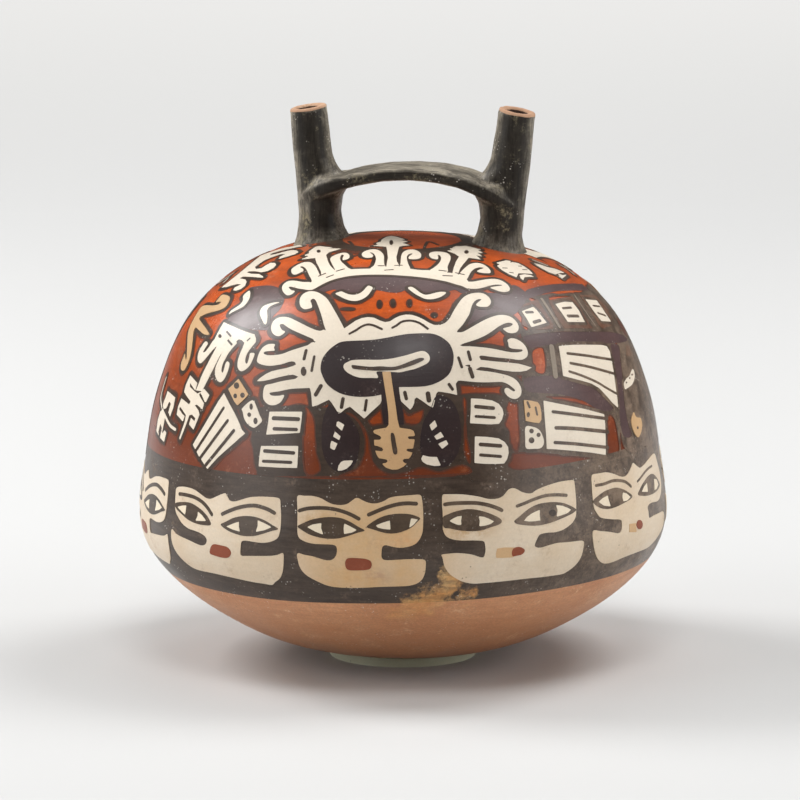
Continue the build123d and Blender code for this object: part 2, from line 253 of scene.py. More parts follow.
MASK = [
    ("sharp", "cream", 326, 331.5, 345, 329.2, 350, 325.8, 356, 321.6, 362, 319, 368, 318, 374, 318.6, 380, 321.4,
     385, 323, 390, 322.2, 395, 319, 400, 316.6, 406, 315.4, 412, 315.7, 418, 317.6, 424, 320.5, 429, 323.5,
     434, 325.7, 440, 325.8, 450, 325, 457, 332, 453, 336, 458, 340, 460, 346, 462, 364, 458, 380.5, 455.6, 384,
     456.2, 390, 457, 395.4, 450, 393.6, 443, 392.4, 438, 391.8, 436, 394, 434.6, 401, 432.8, 408, 428, 405.5,
     422, 401, 416.5, 397.6, 414.5, 399.5, 414, 404, 412, 408, 410, 410, 406, 406, 401, 401.5, 400, 397, 399, 388,
     381.5, 395, 382, 400, 380.5, 404, 374, 410, 368, 415.5, 364.5, 419, 360, 415, 355, 411, 350.5, 407, 346, 409,
     341.5, 413, 339, 413.8, 336, 409, 332.5, 403.5, 329.5, 400, 324, 402.6, 318, 405.6, 312.8, 407, 312.4, 400,
     311.8, 393, 310.5, 388.4, 305, 380, 305, 350, 316, 343),
    ("round", "cream", 345, 331, 341.5, 323.5, 338, 317, 334.5, 311, 331, 305, 327.5, 300, 323, 296.3, 318, 293.6,
     313, 292.5, 308.5, 293, 304, 295.2, 301, 299, 300.2, 303.5, 301.5, 308, 305, 310.3, 309, 309.9, 312.5, 308.4,
     312, 305, 311, 302.2, 312.6, 300.2, 315, 300.3, 317, 303, 319, 308, 321, 313.5, 323, 320, 324.5, 326,
     326.3, 330.6, 330, 338, 345, 338),
    ("round", "cream", 326, 331.6, 321, 332, 316, 331, 310, 328.5, 303, 325, 296, 321.5, 290, 318.8, 284, 318,
     279, 318.9, 275, 321.5, 272.6, 325.5, 272, 330, 273.5, 334, 276.5, 336.5, 280, 337.2, 283.4, 335.6, 286, 332.8,
     283, 331, 281, 328, 280.8, 325.6, 284, 325.2, 287, 327.3, 292, 330.4, 300, 334, 308, 337.5, 314, 340.2,
     316, 342.5, 330, 345),
    ("round", "cream", 316, 344.5, 308, 346.5, 300, 349, 292, 351.5, 284, 354.6, 277, 355.9, 269, 356, 265, 354.4,
     266, 352.5, 270, 351.9, 275.6, 351.4, 275, 348.4, 276, 345.2, 270, 345, 265, 347.4, 261.5, 351.5, 259.3, 356.5,
     258.2, 361.5, 260, 364, 265, 365.8, 271, 366.5, 277, 366, 284, 364.6, 290, 362.6, 294, 362.2, 296.6, 364,
     300, 372, 318, 372),
    ("sharp", "cream", 257.8, 381.8, 262, 378, 267, 374.6, 273, 371.8, 280, 370.2, 287, 368.9, 293, 367.2, 300, 364,
     306, 372, 299, 377, 294, 375.2, 288, 376, 282, 377.2, 276, 378.8, 270, 380.4, 264, 381.6),
    ("round", "cream", 267, 385.6, 274, 384, 282, 381.9, 290, 380.4, 297, 379, 303, 374, 318, 374, 318, 388,
     310, 388.4, 300, 388.8, 293, 389.2, 287, 390.2, 280, 391.8, 273, 392.7, 270.5, 393.5, 272, 395.7, 276, 396.3,
     281, 396, 285, 395.4, 284, 399, 281, 403, 276, 405.4, 271, 405.4, 267, 403, 264.5, 399, 264.2, 394, 265, 389),
    ("round", "cream", 436, 330, 440, 325.8, 445, 323.6, 449.5, 319, 453, 312.5, 457, 306, 461, 300.5, 465, 297,
     470, 294.8, 476, 293.9, 482, 294.3, 487, 297, 490, 300.8, 490.2, 304.5, 487.5, 307.5, 483, 308, 478, 307.4,
     475.8, 305.4, 478.5, 302.8, 481.2, 300.5, 478, 300.2, 474.5, 302, 472, 305.5, 470.5, 310, 469, 315, 466, 320,
     462, 326, 457, 331.5, 452, 340, 436, 340),
    ("round", "cream", 452, 332, 457, 333, 462, 332.8, 466, 331, 472, 327.5, 480, 323, 487, 319.5, 494, 317,
     500, 316, 506, 316.5, 511, 318.5, 515, 322, 517.5, 326, 517.8, 330, 516, 332.8, 512, 334, 508, 333.6,
     504.5, 331.6, 502.5, 329.5, 506, 328.3, 510, 327.2, 512.2, 324.8, 508, 323.6, 503, 324.8, 498, 327.4, 493, 331,
     487, 335, 480, 338.5, 472, 341.4, 464, 343.8, 460, 345.6, 450, 350),
    ("round", "cream", 455, 346, 462, 346.8, 470, 347, 480, 347.8, 490, 349, 498, 350.5, 506, 352.2, 512, 353,
     517, 352.9, 521.2, 352, 521.8, 350.2, 518, 349.8, 512, 349.2, 508.4, 347.6, 507.8, 344, 507, 340.6, 511, 339,
     516, 340, 521, 343, 525, 347.5, 527, 353, 526, 357.5, 522, 360, 517, 360.3, 510, 359.2, 500, 358.3, 490, 357.2,
     481, 356, 478.8, 357.6, 480, 359.8, 476, 364, 455, 364),
    ("sharp", "cream", 470, 359, 480, 360.2, 490, 361.5, 500, 362.4, 510, 363.3, 518, 364.2, 525, 366, 531, 368,
     526, 371, 520, 372.1, 512, 372, 504, 371, 496, 369.6, 488, 367.9, 480, 367.2, 477, 369, 470, 372),
    ("round", "cream", 455, 364, 470, 368, 478, 370.6, 488, 371.8, 495, 373, 502, 374.5, 508, 376.2, 514, 379.2,
     518.5, 384, 520.8, 390, 520, 395.5, 516.5, 398.8, 512, 399, 507.5, 396.6, 504.2, 392.5, 504.4, 389, 507, 388.2,
     510, 390, 513, 391.8, 514.6, 390.4, 511, 387, 507, 384.2, 502, 382.3, 495, 382.3, 485, 382.6, 475, 382.3,
     465, 381.3, 460, 380.8, 456.8, 381.4, 455.6, 384, 450, 380),
    ("round", "oval", 321.5, 366, 323, 360, 326, 355, 330, 350.5, 335, 346.5, 340, 343.5, 346, 342.2, 355, 341.6,
     365, 341.2, 375, 340.4, 385, 338.8, 395, 336.8, 405, 335, 415, 334.2, 425, 334, 433, 334.6, 440, 337.2,
     446, 341.2, 449.6, 345, 452, 350, 453.4, 356, 453, 363, 451.5, 369, 449.2, 374, 445, 378.2, 440, 381.5,
     433, 384.6, 425, 386.5, 415, 387.2, 400, 387.4, 394, 388, 384, 392, 381, 395, 372, 396.8, 362, 397.3,
     352, 396.6, 343, 394.6, 336, 391.4, 330, 387, 326, 382.4, 323, 376, 321.4, 371),
    ("round", "white", 344, 367.6, 345, 364.6, 348, 362.8, 353, 360.9, 362, 360.4, 372, 360.6, 382, 360.4,
     392, 359.2, 402, 357, 410, 354.8, 417, 352.6, 422, 351.6, 426, 352.8, 429, 356, 429.6, 360, 427.6, 363.4,
     423, 366, 416, 369, 408, 371, 400, 372.8, 395, 372.6, 390, 372.4, 377, 372.2, 378.4, 378.2, 372, 378.4,
     362, 378.4, 355, 376.8, 349, 373.8, 345.4, 370.8),
    ("round", "slit", 352, 366.4, 354, 365.8, 362, 366.8, 372, 367.6, 380, 367, 392, 367.6, 400, 366, 410, 362,
     418, 359, 422.5, 358.6, 424, 360, 420, 362.6, 412, 366, 404, 368.6, 396, 370.6, 390, 371, 378, 371.4,
     366, 370.8, 357, 370, 353, 369),
    ("sharp", "oval", 376.5, 371, 379, 366.5, 381, 366, 391, 368.5, 395, 371, 396.5, 380, 399, 388, 400.5, 401,
     403, 412, 404, 425, 384, 425, 382, 412, 381.5, 396, 380.5, 385, 378.5, 378),
    ("line", "detail", 2.4, 350, 334.6, 356, 331.4, 362, 327.4, 368, 325.4, 374, 326.4, 379, 328.6, 382, 330),
    ("line", "detail", 2.4, 392.5, 328.5, 397, 326, 401, 323, 406, 321.6, 412, 321.6, 418, 323.2, 423, 326,
     427.5, 329.5),
    ("line", "detail", 3.2, 305, 359.8, 307, 351.5), ("dot", "detail", 304.5, 372, 2.8, 4.6),
    ("line", "detail", 2.6, 312.5, 371.5, 315, 357.5), ("line", "detail", 4, 316.5, 395, 321.5, 386.5),
    ("line", "detail", 3.6, 342, 407.5, 343.5, 399.2), ("line", "detail", 2.8, 365.3, 410.5, 366.7, 400.8),
    ("line", "detail", 3.4, 404.8, 392.8, 406.3, 399), ("line", "detail", 4.6, 427.8, 394, 428.8, 400.6),
    ("line", "detail", 3, 448.8, 384.6, 452.2, 389.6), ("line", "detail", 3.2, 468, 352.5, 470, 360),
    ("line", "detail", 4, 469.6, 369, 472.2, 377), ("line", "detail", 2.8, 458.2, 358.2, 461.5, 367.5),
]
STAFF = [
    ("sharp", "tan", 382.4, 372.3, 390.8, 372.2, 392, 382, 394, 395, 396, 408, 397.5, 420, 399.5, 428, 410, 429.5,
     413.5, 431, 414.8, 435, 414.6, 436.3, 408.5, 436.6, 407.6, 438, 409, 439.3, 414.6, 439.4, 413.8, 445,
     413, 448.6, 407, 449, 406.2, 450.4, 408, 451.6, 412.3, 452.6, 411, 456, 409, 458.6, 404, 458.8, 402.6, 460.6,
     404, 462.6, 406.8, 463.8, 403, 467, 397.5, 469.5, 392, 469.6, 386, 467.6, 382, 463.6, 386.5, 462.8, 388, 461,
     386.5, 459.4, 379, 458.2, 377, 455, 375.4, 450.6, 382, 451.4, 383.6, 450.2, 382.6, 448, 378, 446.2,
     374.6, 445.6, 374.2, 440, 380, 440, 381.6, 438.2, 380.4, 436.2, 374.5, 433.6, 373.4, 431.4, 375, 430, 381, 429,
     386.5, 428, 388.8, 425, 388.6, 415, 387.6, 405, 386, 395, 384.4, 385),
    ("round", "slit", 391, 433.6, 393.5, 433.4, 395, 437, 396, 443, 397.4, 450, 397, 454, 394.6, 454.6, 393, 452,
     392, 446, 391, 440),
    ("round", "lobe", 330, 405, 326, 412, 323, 422, 322, 435, 322.5, 448, 326, 460, 332, 468, 340, 472, 350, 470,
     356, 463, 359, 452, 360, 440, 358, 430, 352, 420, 345, 413, 338, 412),
    ("round", "lobe", 436, 396, 448, 398, 456, 408, 460, 422, 461, 436, 459, 450, 453, 461, 445, 467, 434, 467,
     426, 462, 421, 454, 420, 444, 421, 432, 424, 420, 430, 410),
    ("sharp", "white", 337.4, 422.2, 339.4, 421.8, 344.8, 425, 342.4, 431.2, 336.8, 426.2),
    ("sharp", "white", 335.6, 431.8, 341, 436.4, 339.8, 440.4, 333.6, 436.8),
    ("sharp", "white", 332, 440.8, 338, 443.6, 335, 450.4, 330.8, 448.2, 331, 444),
    ("sharp", "white", 338, 470.8, 339, 465.6, 341.4, 462, 344.6, 460.6, 353.6, 460.4, 351.2, 465, 347, 468.8,
     342, 470.6),
    ("sharp", "white", 429.2, 425.4, 434.6, 420.4, 437, 426.6, 431.6, 431),
    ("sharp", "white", 434, 436.4, 440.4, 432, 443.6, 437, 436.4, 440),
    ("sharp", "white", 437.8, 444, 445.8, 440.2, 448, 444.2, 442, 449),
    ("sharp", "white", 421, 458.6, 422.6, 455.2, 429, 456.8, 436.6, 457, 440.6, 465.6, 434, 466, 427, 464.6,
     422.4, 461.8),
]
TABLETS = [
    ("sharp", "cream", 270.5, 412, 303, 412, 302, 422, 300.5, 433, 285, 434, 267, 434.8, 269, 424),
    ("line", "detail", 4, 274.5, 418.5, 299, 419.5), ("line", "detail", 3.4, 275, 429, 297, 429.8),
    ("sharp", "cream", 261.8, 446, 298.8, 446, 298.5, 456, 297.6, 468, 280, 467.6, 259.4, 466.4, 260.2, 456),
    ("line", "detail", 3.6, 265.5, 451, 294, 453), ("line", "detail", 3, 264, 461.2, 291.5, 462.4),
    ("sharp", "cream", 470.6, 398.6, 482, 399.2, 492, 400.8, 498, 403.8, 502, 409, 503, 414, 501.6, 419.5,
     498.6, 424, 490, 424.6, 480, 424, 469.6, 423.4, 470.4, 412),
    ("line", "detail", 3.6, 475.5, 406.8, 492.8, 408.4), ("line", "detail", 2.8, 475.6, 416.6, 494, 417.8),
    ("sharp", "cream", 474.5, 436.5, 487, 437, 498, 438.5, 504, 442, 507.5, 447, 508, 453, 506.6, 459, 503.5, 463.5,
     494, 464, 484, 463.8, 474, 463),
    ("line", "detail", 3.6, 480, 444.5, 500, 446), ("line", "detail", 3, 480, 455, 500, 456.5),
]
LEFT_SIDE = [
    ("sharp", "cream", 225.5, 393.6, 220, 401.5, 212, 415, 204, 428.5, 196.5, 441, 194.3, 445, 196.6, 449, 200, 456,
     203.5, 461, 206, 465.4, 208.6, 469, 213, 464, 220, 456.5, 228, 449.5, 236, 442.5, 241, 438, 246.4, 433.6,
     243, 430, 240.5, 423, 236, 413.5, 230.5, 403.5),
    ("line", "detail", 3.2, 196.5, 452, 225, 408.5), ("line", "detail", 3.4, 200, 460, 229, 421),
    ("line", "detail", 3.6, 205, 467.6, 235, 431),
    ("sharp", "tan", 240, 379.4, 244, 385, 250, 395, 246, 399.6, 239, 406, 236, 402, 230, 389.6, 235, 385),
    ("dot", "detail", 238.3, 386.2, 2.6, 3.2), ("dot", "detail", 237, 396.5, 1.8, 2.4),
    ("dot", "detail", 244.2, 395.8, 2.2, 2.6),
    ("round", "cream", 253.5, 400.6, 258, 408, 260.5, 415, 263, 421, 259, 425.5, 254.5, 428, 249, 424.5, 245.5, 419,
     244, 412, 243.6, 408.6),
    ("dot", "detail", 252.4, 407, 1.6, 3.2), ("dot", "detail", 250.4, 415, 1.8, 2.2),
    ("dot", "detail", 256.6, 421.2, 2, 3.2),
    ("sharp", "cream", 225, 323, 232, 326.3, 240, 330, 248, 333, 255.6, 335.3, 257.2, 340, 256, 344, 252, 348.5,
     246, 344, 243, 341, 240, 340, 237.6, 342, 234, 348, 226, 350, 221, 346, 215.6, 341, 218, 335.5, 221.5, 329),
    ("round", "cream", 216, 340, 211, 347, 207, 352.3, 204.6, 352.8, 206.6, 349, 209.4, 344.4, 207, 342.2,
     203.5, 346.5, 200.6, 352, 199.2, 358, 199.8, 362, 202, 364, 205, 361.6, 209, 357, 213, 352, 217, 347.8,
     222, 345, 225, 335),
    ("sharp", "cream", 220, 344, 214, 355, 208, 366.5, 203, 377, 199.8, 385.6, 197.5, 391, 203.6, 391.6,
     206.5, 386, 211, 377, 216, 367, 221, 357, 226.5, 348),
    ("round", "cream", 225, 350, 222, 356.5, 219, 363, 216.8, 369, 216.6, 375, 218.2, 380, 221.5, 382.8, 225, 380.5,
     228, 375, 230, 369, 230.8, 364, 228.6, 362, 226.6, 365, 225.4, 370, 224, 373.4, 222.8, 371, 224, 365,
     226.6, 359.5, 230, 353.5, 233.5, 349, 238, 343, 228, 343),
    ("round", "cream", 245.6, 343.4, 243.6, 349, 241, 355, 239.2, 361, 238.8, 367, 240.4, 370.6, 243, 371.8,
     247, 370, 251, 366, 254, 360, 255.8, 354.5, 253.8, 353.6, 251.2, 354.2, 250.4, 358, 249, 363, 247.6, 364.4,
     246.4, 362, 247.2, 357, 250, 351.5, 253.5, 347, 257, 341, 248, 336),
    ("dot", "detail", 221.3, 337, 1.6, 1.9), ("line", "detail", 2, 228.2, 332.6, 232, 337),
    ("line", "detail", 2.2, 229.4, 341.2, 233, 345.4), ("line", "detail", 1.6, 248.5, 341.5, 251, 339.2),
    ("sharp", "cream", 192, 375.8, 199, 383.6, 197, 391, 195.6, 389.2, 191.8, 383.4, 191.6, 387.2, 196, 391.6,
     199, 394, 204, 391.6, 205.5, 389, 211, 395.4, 207.6, 402.6, 206.4, 402.4, 204.4, 397.6, 202, 393, 200.6, 395,
     202.6, 399, 205.6, 403.6, 204, 409.8, 198.6, 405, 196.4, 405.6, 200.2, 411, 201, 415, 198.4, 422, 195, 430,
     190.6, 424.6, 192.6, 418, 194.6, 420.4, 196.4, 421.4, 197, 418.6, 193.6, 414.8, 191, 415.6, 188, 424, 185, 432,
     181.6, 440, 180.8, 438.4, 183.6, 430, 186.4, 422, 187.6, 415.4, 185, 411.6, 181.6, 406.6, 181, 410, 184, 414.4,
     186.4, 416.4, 184.4, 421.8, 178.4, 415, 179.8, 407, 183.2, 398.8, 188, 402.6, 190.8, 405, 192.4, 402,
     189, 397.4, 185.8, 392.4, 187.8, 384.8),
    ("sharp", "cream", 169.6, 391.4, 177, 398, 175, 408, 171.6, 417, 170, 412.6, 172.6, 404, 171, 402, 168, 408.6,
     165.4, 409.6, 164.6, 405, 167.4, 398),
    ("sharp", "cream", 164.6, 410, 167, 415, 165.4, 424, 163.4, 434, 166, 430.6, 168, 432.6, 165.6, 442,
     161.6, 438, 163.6, 428, 162, 424, 160, 432, 160.6, 436.4, 158, 431, 159.6, 420, 162, 412),
    ("line", "cream", 3, 164, 410, 168, 419, 172, 426, 177, 429.8),
    ("line", "cream", 2, 168, 378, 165, 388, 162.6, 398, 163.6, 408),
    ("round", "tan", 224, 296.2, 230.6, 298, 230, 303, 226.5, 308.5, 220, 311.6, 213, 313.4, 206, 315.8,
     201.2, 319.4, 203.5, 324, 208, 330, 210.8, 335.4, 206, 335.4, 201, 331.4, 197.6, 328.8, 195.4, 334, 194.6, 342,
     193.6, 350, 192, 358, 190, 364, 187, 370, 184.4, 371.4, 183, 369, 183.4, 363.6, 185.4, 358.6, 187, 354.4,
     187.4, 358.4, 188.6, 360.4, 189.2, 352, 189.6, 343, 190.2, 334, 192.4, 327, 196, 319.6, 200, 312.6, 204, 307.6,
     208.6, 306.6, 214, 307, 219.6, 306, 222.6, 303.4, 219.6, 303.2, 217.4, 303.6, 220, 300),
    ("sharp", "cream", 222.4, 288.6, 228, 284, 236, 277.5, 245, 270, 254, 262.6, 262, 256.4, 270, 251.6, 280, 249.8,
     290, 248.4, 300, 246.6, 303, 247.8, 292, 249.8, 282, 251.8, 273, 254.4, 270, 256.4, 276, 255.4, 284, 253.2,
     292, 251.6, 297, 252, 299, 253.6, 296, 255.6, 288, 258, 281, 260, 279.2, 260.2, 280.6, 258.2, 286, 255.6,
     281, 255.6, 272, 258.6, 265, 261.4, 259, 265.4, 255.4, 268.4, 257, 270.2, 262, 269.6, 266, 266.8, 271, 264.2,
     275.6, 264.4, 276.8, 266.2, 274, 269.4, 268, 272.4, 262, 273.6, 256, 272.4, 250, 272.4, 247.6, 273.6, 252, 275,
     260, 275.4, 264, 277.8, 263.6, 279, 258, 278.6, 250, 278, 244, 277.6, 240.4, 279.4, 243, 280, 246.4, 280.8,
     247.4, 283, 246, 287, 242, 290.2, 237, 291.8, 234.2, 291.4, 235.4, 288.8, 240, 286.6, 242.4, 285.4,
     238, 285.2, 233, 286.4, 228, 288),
    ("line", "cream", 1, 241, 265.5, 263, 256), ("line", "cream", 1.6, 219.5, 283.5, 226, 279.5, 234.5, 273.6),
    ("line", "cream", 1.4, 224.5, 283.5, 229, 279),
    ("round", "purple", 250, 289, 258, 287.2, 268, 286.4, 276, 287.6, 282, 291, 285, 298, 284, 304, 280, 311,
     275, 316, 271, 322, 270, 330, 262, 331, 252, 330, 243, 328, 236, 326.6, 229, 323, 228.6, 319, 233, 313,
     240, 307, 246, 301, 250, 295),
    ("round", "cream", 250.6, 292, 251, 297, 249, 302, 245, 307, 239, 310.4, 233, 313.4, 230, 315.4, 231.4, 312.4,
     236, 309, 241, 305.6, 244, 301.4, 244, 297.6, 247, 294),
    ("round", "cream", 280.4, 303.6, 275, 305.6, 270, 308.4, 268, 312, 268.4, 318, 267.6, 324, 265.6, 325.4,
     263, 321, 261, 316, 261, 312, 264, 307.6, 270, 305, 276, 303.6),
]
RIGHT_SIDE = [
    ("sharp", "cream", 521, 312.4, 532.4, 308, 536, 311.6, 545.6, 324, 530.6, 328.2, 526, 320),
    ("line", "detail", 3, 525.5, 313.6, 531.6, 313.4), ("line", "detail", 3.6, 533.2, 323.4, 538.8, 321.8),
    ("sharp", "cream", 554.2, 305.4, 563, 303.2, 571, 303.6, 577, 311, 583.4, 323.2, 566.4, 323.2, 560, 313.6),
    ("line", "detail", 2.6, 561.6, 309.8, 569.6, 309), ("line", "detail", 3.4, 566.6, 317.4, 576.6, 317.4),
    ("sharp", "cream", 584.2, 300.6, 595.4, 301.6, 602, 311, 609.6, 322.6, 599.8, 322, 592, 312),
    ("line", "detail", 2, 591.8, 307, 598.4, 307.6), ("line", "detail", 2.4, 596.6, 314.2, 604, 316.6),
    ("sharp", "cream", 607, 305.6, 609.8, 306.4, 615, 314.4, 618.6, 321.6, 616.6, 322, 611.8, 315),
    ("line", "bar", 3.6, 541, 300.5, 549, 313, 558, 328), ("line", "bar", 1.8, 573, 296, 583, 311, 594, 327),
    ("line", "bar", 1.2, 606.5, 306, 614, 319, 620, 326), ("line", "bar", 6, 550.5, 348, 554.5, 376),
    ("round", "purple", 525, 292, 535, 288.4, 548, 286, 560, 285, 575, 284.6, 588, 286, 595, 290, 585, 291.4,
     570, 291.6, 555, 292.6, 540, 295.6, 530, 299, 524, 301),
    ("round", "purple", 470, 309, 484, 309, 491, 306, 492, 300, 487, 294, 500, 294, 509, 292, 512, 286, 520, 289,
     527, 296, 524, 303, 518, 312, 512, 316, 505, 314, 496, 315, 486, 318, 476, 323, 468, 326),
    ("round", "purple", 523, 337, 535, 335, 550, 333.4, 570, 332.6, 590, 332.6, 610, 333, 622, 336, 625, 342,
     610, 344, 590, 343.8, 570, 344.2, 550, 345.4, 540, 347, 527, 349, 524, 343),
    ("round", "purple", 609, 346, 617, 346, 619, 360, 621.5, 380, 623, 400, 626, 420, 630, 436, 622, 436,
     618.6, 420, 617, 400, 615.5, 380, 612.5, 362),
    ("sharp", "brown", 547, 301.7, 571, 297.2, 576, 304.2, 588.7, 325.7, 592, 329.5, 563.3, 329.5, 557, 320.7),
    ("sharp", "brown", 578, 296.5, 596.3, 296, 605, 304.2, 611.5, 325.7, 601.3, 329.5, 597, 325.7, 589, 310.5),
    ("sharp", "brown", 523, 305.5, 536.7, 300.4, 541, 308, 552, 325.7, 552, 330, 530.4, 331, 521, 325.7),
    ("sharp", "brown", 624, 345.6, 627, 346.4, 630.4, 356, 625, 357),
    ("round", "purple", 524, 379, 540, 376, 556, 377, 570, 381, 590, 387, 604, 399, 612, 409, 600, 411, 580, 400,
     560, 395, 540, 393, 526, 391),
    ("sharp", "cream", 557.4, 347, 570, 345.8, 585, 345.6, 600, 345.8, 605, 347, 608, 352, 610, 361, 612, 372,
     614, 386, 616, 400, 616.6, 408, 611, 403, 604, 395, 598, 388.6, 590, 384, 580, 381, 570, 378.4, 562, 376.4,
     560.6, 366, 559, 356),
    ("line", "detail", 2.8, 566, 354.2, 585, 356.4, 612, 360.6),
    ("line", "detail", 2.8, 569, 363.8, 590, 368, 614, 374.6),
    ("line", "detail", 2.6, 568, 372, 580, 376, 595, 382.4, 606, 389, 616, 394.6),
    ("sharp", "cream", 542.6, 400.8, 555, 403.4, 570, 406.4, 585, 409.6, 603, 414.6, 604, 425, 604.6, 440,
     604.8, 455, 590, 452.6, 570, 450.6, 555, 449.4, 546, 449, 545.4, 435, 544, 418),
    ("line", "detail", 3.2, 552, 412, 575, 414.8, 606, 419), ("line", "detail", 3.6, 555, 428, 575, 428.8, 607, 432),
    ("line", "detail", 3.2, 554, 442.6, 575, 444, 607, 447.6),
    ("sharp", "tan", 523, 400.2, 530, 401, 536.6, 402.4, 539, 406, 540.4, 413, 540.4, 420, 538.4, 423.4, 532, 422.6,
     525, 421.2, 524, 412),
    ("line", "detail", 2.4, 526.6, 402.6, 528.6, 407.6), ("dot", "detail", 527.4, 415, 1.6, 2.6),
    ("line", "detail", 2.2, 534.6, 407.8, 536.2, 415),
    ("round", "cream", 525, 427, 532, 427, 538, 429.6, 541, 434, 543, 440, 542.6, 445, 539.4, 448.4, 533, 448.8,
     525.4, 448.2, 524.6, 438),
    ("dot", "detail", 530.8, 431.2, 2.2, 2.4), ("dot", "detail", 537.8, 435, 2, 2.2),
    ("dot", "detail", 530.8, 440.4, 2.8, 3),
    ("sharp", "cream", 496.8, 267, 500, 265, 506, 265.6, 512, 263.4, 518, 264.6, 524, 268, 529, 271.6, 532.4, 275.4,
     526, 274.8, 518, 274.6, 516, 278.6, 509, 275.6, 502, 271.6),
    ("sharp", "cream", 496, 264, 501, 262.8, 506, 261.6, 510.4, 262.4, 509.6, 264.8, 505, 265.6, 499, 265.4),
    ("sharp", "cream", 519, 276.4, 524, 275.6, 530, 276.4, 533.6, 278.2, 528, 278.2, 524, 278.4, 522.8, 281.6,
     520, 279.4),
    ("line", "detail", 1.3, 502.4, 269.2, 506.6, 269.4), ("line", "detail", 1.3, 509.2, 273.6, 512.8, 274.2),
    ("line", "detail", 1.3, 518, 267.6, 521, 267.6), ("line", "detail", 1.3, 522.4, 271, 526.4, 271.2),
    ("sharp", "cream", 533.4, 264.4, 540, 266.2, 547, 268.6, 552, 269.6, 557, 271, 564, 274, 559, 274.4,
     554.6, 275.8, 548, 273.6, 541, 269.8, 536, 266.8),
    ("sharp", "cream", 557.4, 275, 562, 276.4, 566, 276, 561.4, 280, 558.6, 278),
    ("line", "cream", 1.2, 532, 261.2, 547, 267), ("line", "cream", 1.8, 545, 258.8, 556, 264.6, 565, 269.6),
    ("line", "cream", 2, 567, 270, 571.6, 273.4),
    ("round", "cream", 630.8, 369.6, 633, 374, 632.6, 380, 630, 385.6, 626, 388.4, 623.6, 389.6, 622.4, 384,
     625, 379, 628, 376),
    ("dot", "detail", 630.4, 375.2, 0.8, 1), ("dot", "detail", 628, 378.6, 0.8, 1),
    ("dot", "detail", 624.8, 383, 0.8, 1),
    ("round", "tan", 630.4, 416.4, 632, 412.6, 633.6, 416.6, 636, 418, 638.6, 418.4, 640, 424, 639.6, 430,
     637.6, 436, 635.6, 437.4, 632.4, 433, 630, 426, 629.4, 420),
    ("dot", "detail", 635.6, 428, 0.9, 1.5),
]
# Dark ground between the figures, and the windows where the red shows through it
GROUND = [
    ("line", "dark", 7, 474, 477, 500, 477, 530, 474, 560, 470, 588, 467.5),
    ("line", "dark", 6, 621, 436, 627, 448, 644, 450, 657, 445),
    ("sharp", "dark", 257, 408, 300, 405, 330, 408, 365, 412, 436, 398, 470, 394, 520, 396, 545, 398, 546, 476,
     258, 476, 252, 440),
    ("sharp", "dark", 520, 330, 560, 331, 612, 334, 616, 380, 620, 456, 546, 476, 545, 398, 520, 396, 523, 360),
    ("sharp", "dark", 522, 300, 545, 296, 600, 293, 612, 310, 622, 332, 560, 334, 522, 336),
    ("round", "dark", 612, 346, 622, 344, 628, 360, 634, 380, 640, 395, 645, 410, 650, 425, 653, 440, 645, 446,
     630, 449, 622, 440, 617, 425, 616, 410, 615, 395, 612, 375, 609, 355),
]
RIGHT_EDGE = (636, 398)
WINDOWS = [
    ("round", 304.5, 410, 312, 412, 316, 425, 317, 450, 321, 471, 304, 471),
    ("round", 345, 413, 353, 414, 362, 424, 369, 436, 371, 452, 378, 466, 392, 474, 410, 470, 422, 467, 440, 471,
     462, 464, 467, 474, 400, 477, 340, 477, 357, 468, 364, 452, 364, 436, 358, 422),
    ("round", 403, 408, 412, 413, 424, 409, 420, 424, 405, 424),
    ("round", 372, 413, 381, 409, 383, 426, 374, 427, 368, 421),
    ("round", 507, 402, 517, 401, 519, 420, 520, 438, 517, 452, 510, 446, 508, 432, 504, 424),
    ("round", 510, 455, 530, 452, 560, 455, 600, 459, 598, 468, 560, 468, 512, 470),
    ("round", 462, 399, 467, 401, 466, 430, 471, 455, 469, 464, 463, 450, 464, 425),
    ("round", 532, 350, 543, 349, 545, 373, 535, 373, 531, 360),
    ("round", 548, 396, 575, 398, 600, 407, 596, 412, 560, 404, 547, 401),
    ("round", 606, 418, 613, 418, 617, 436, 618, 452, 606, 452),
    ("round", 527, 299, 534, 300, 541, 309, 534, 306), ("round", 548, 298, 568, 297, 572, 302, 552, 303),
    ("round", 524, 318, 528, 326, 527, 332, 522, 328),
]
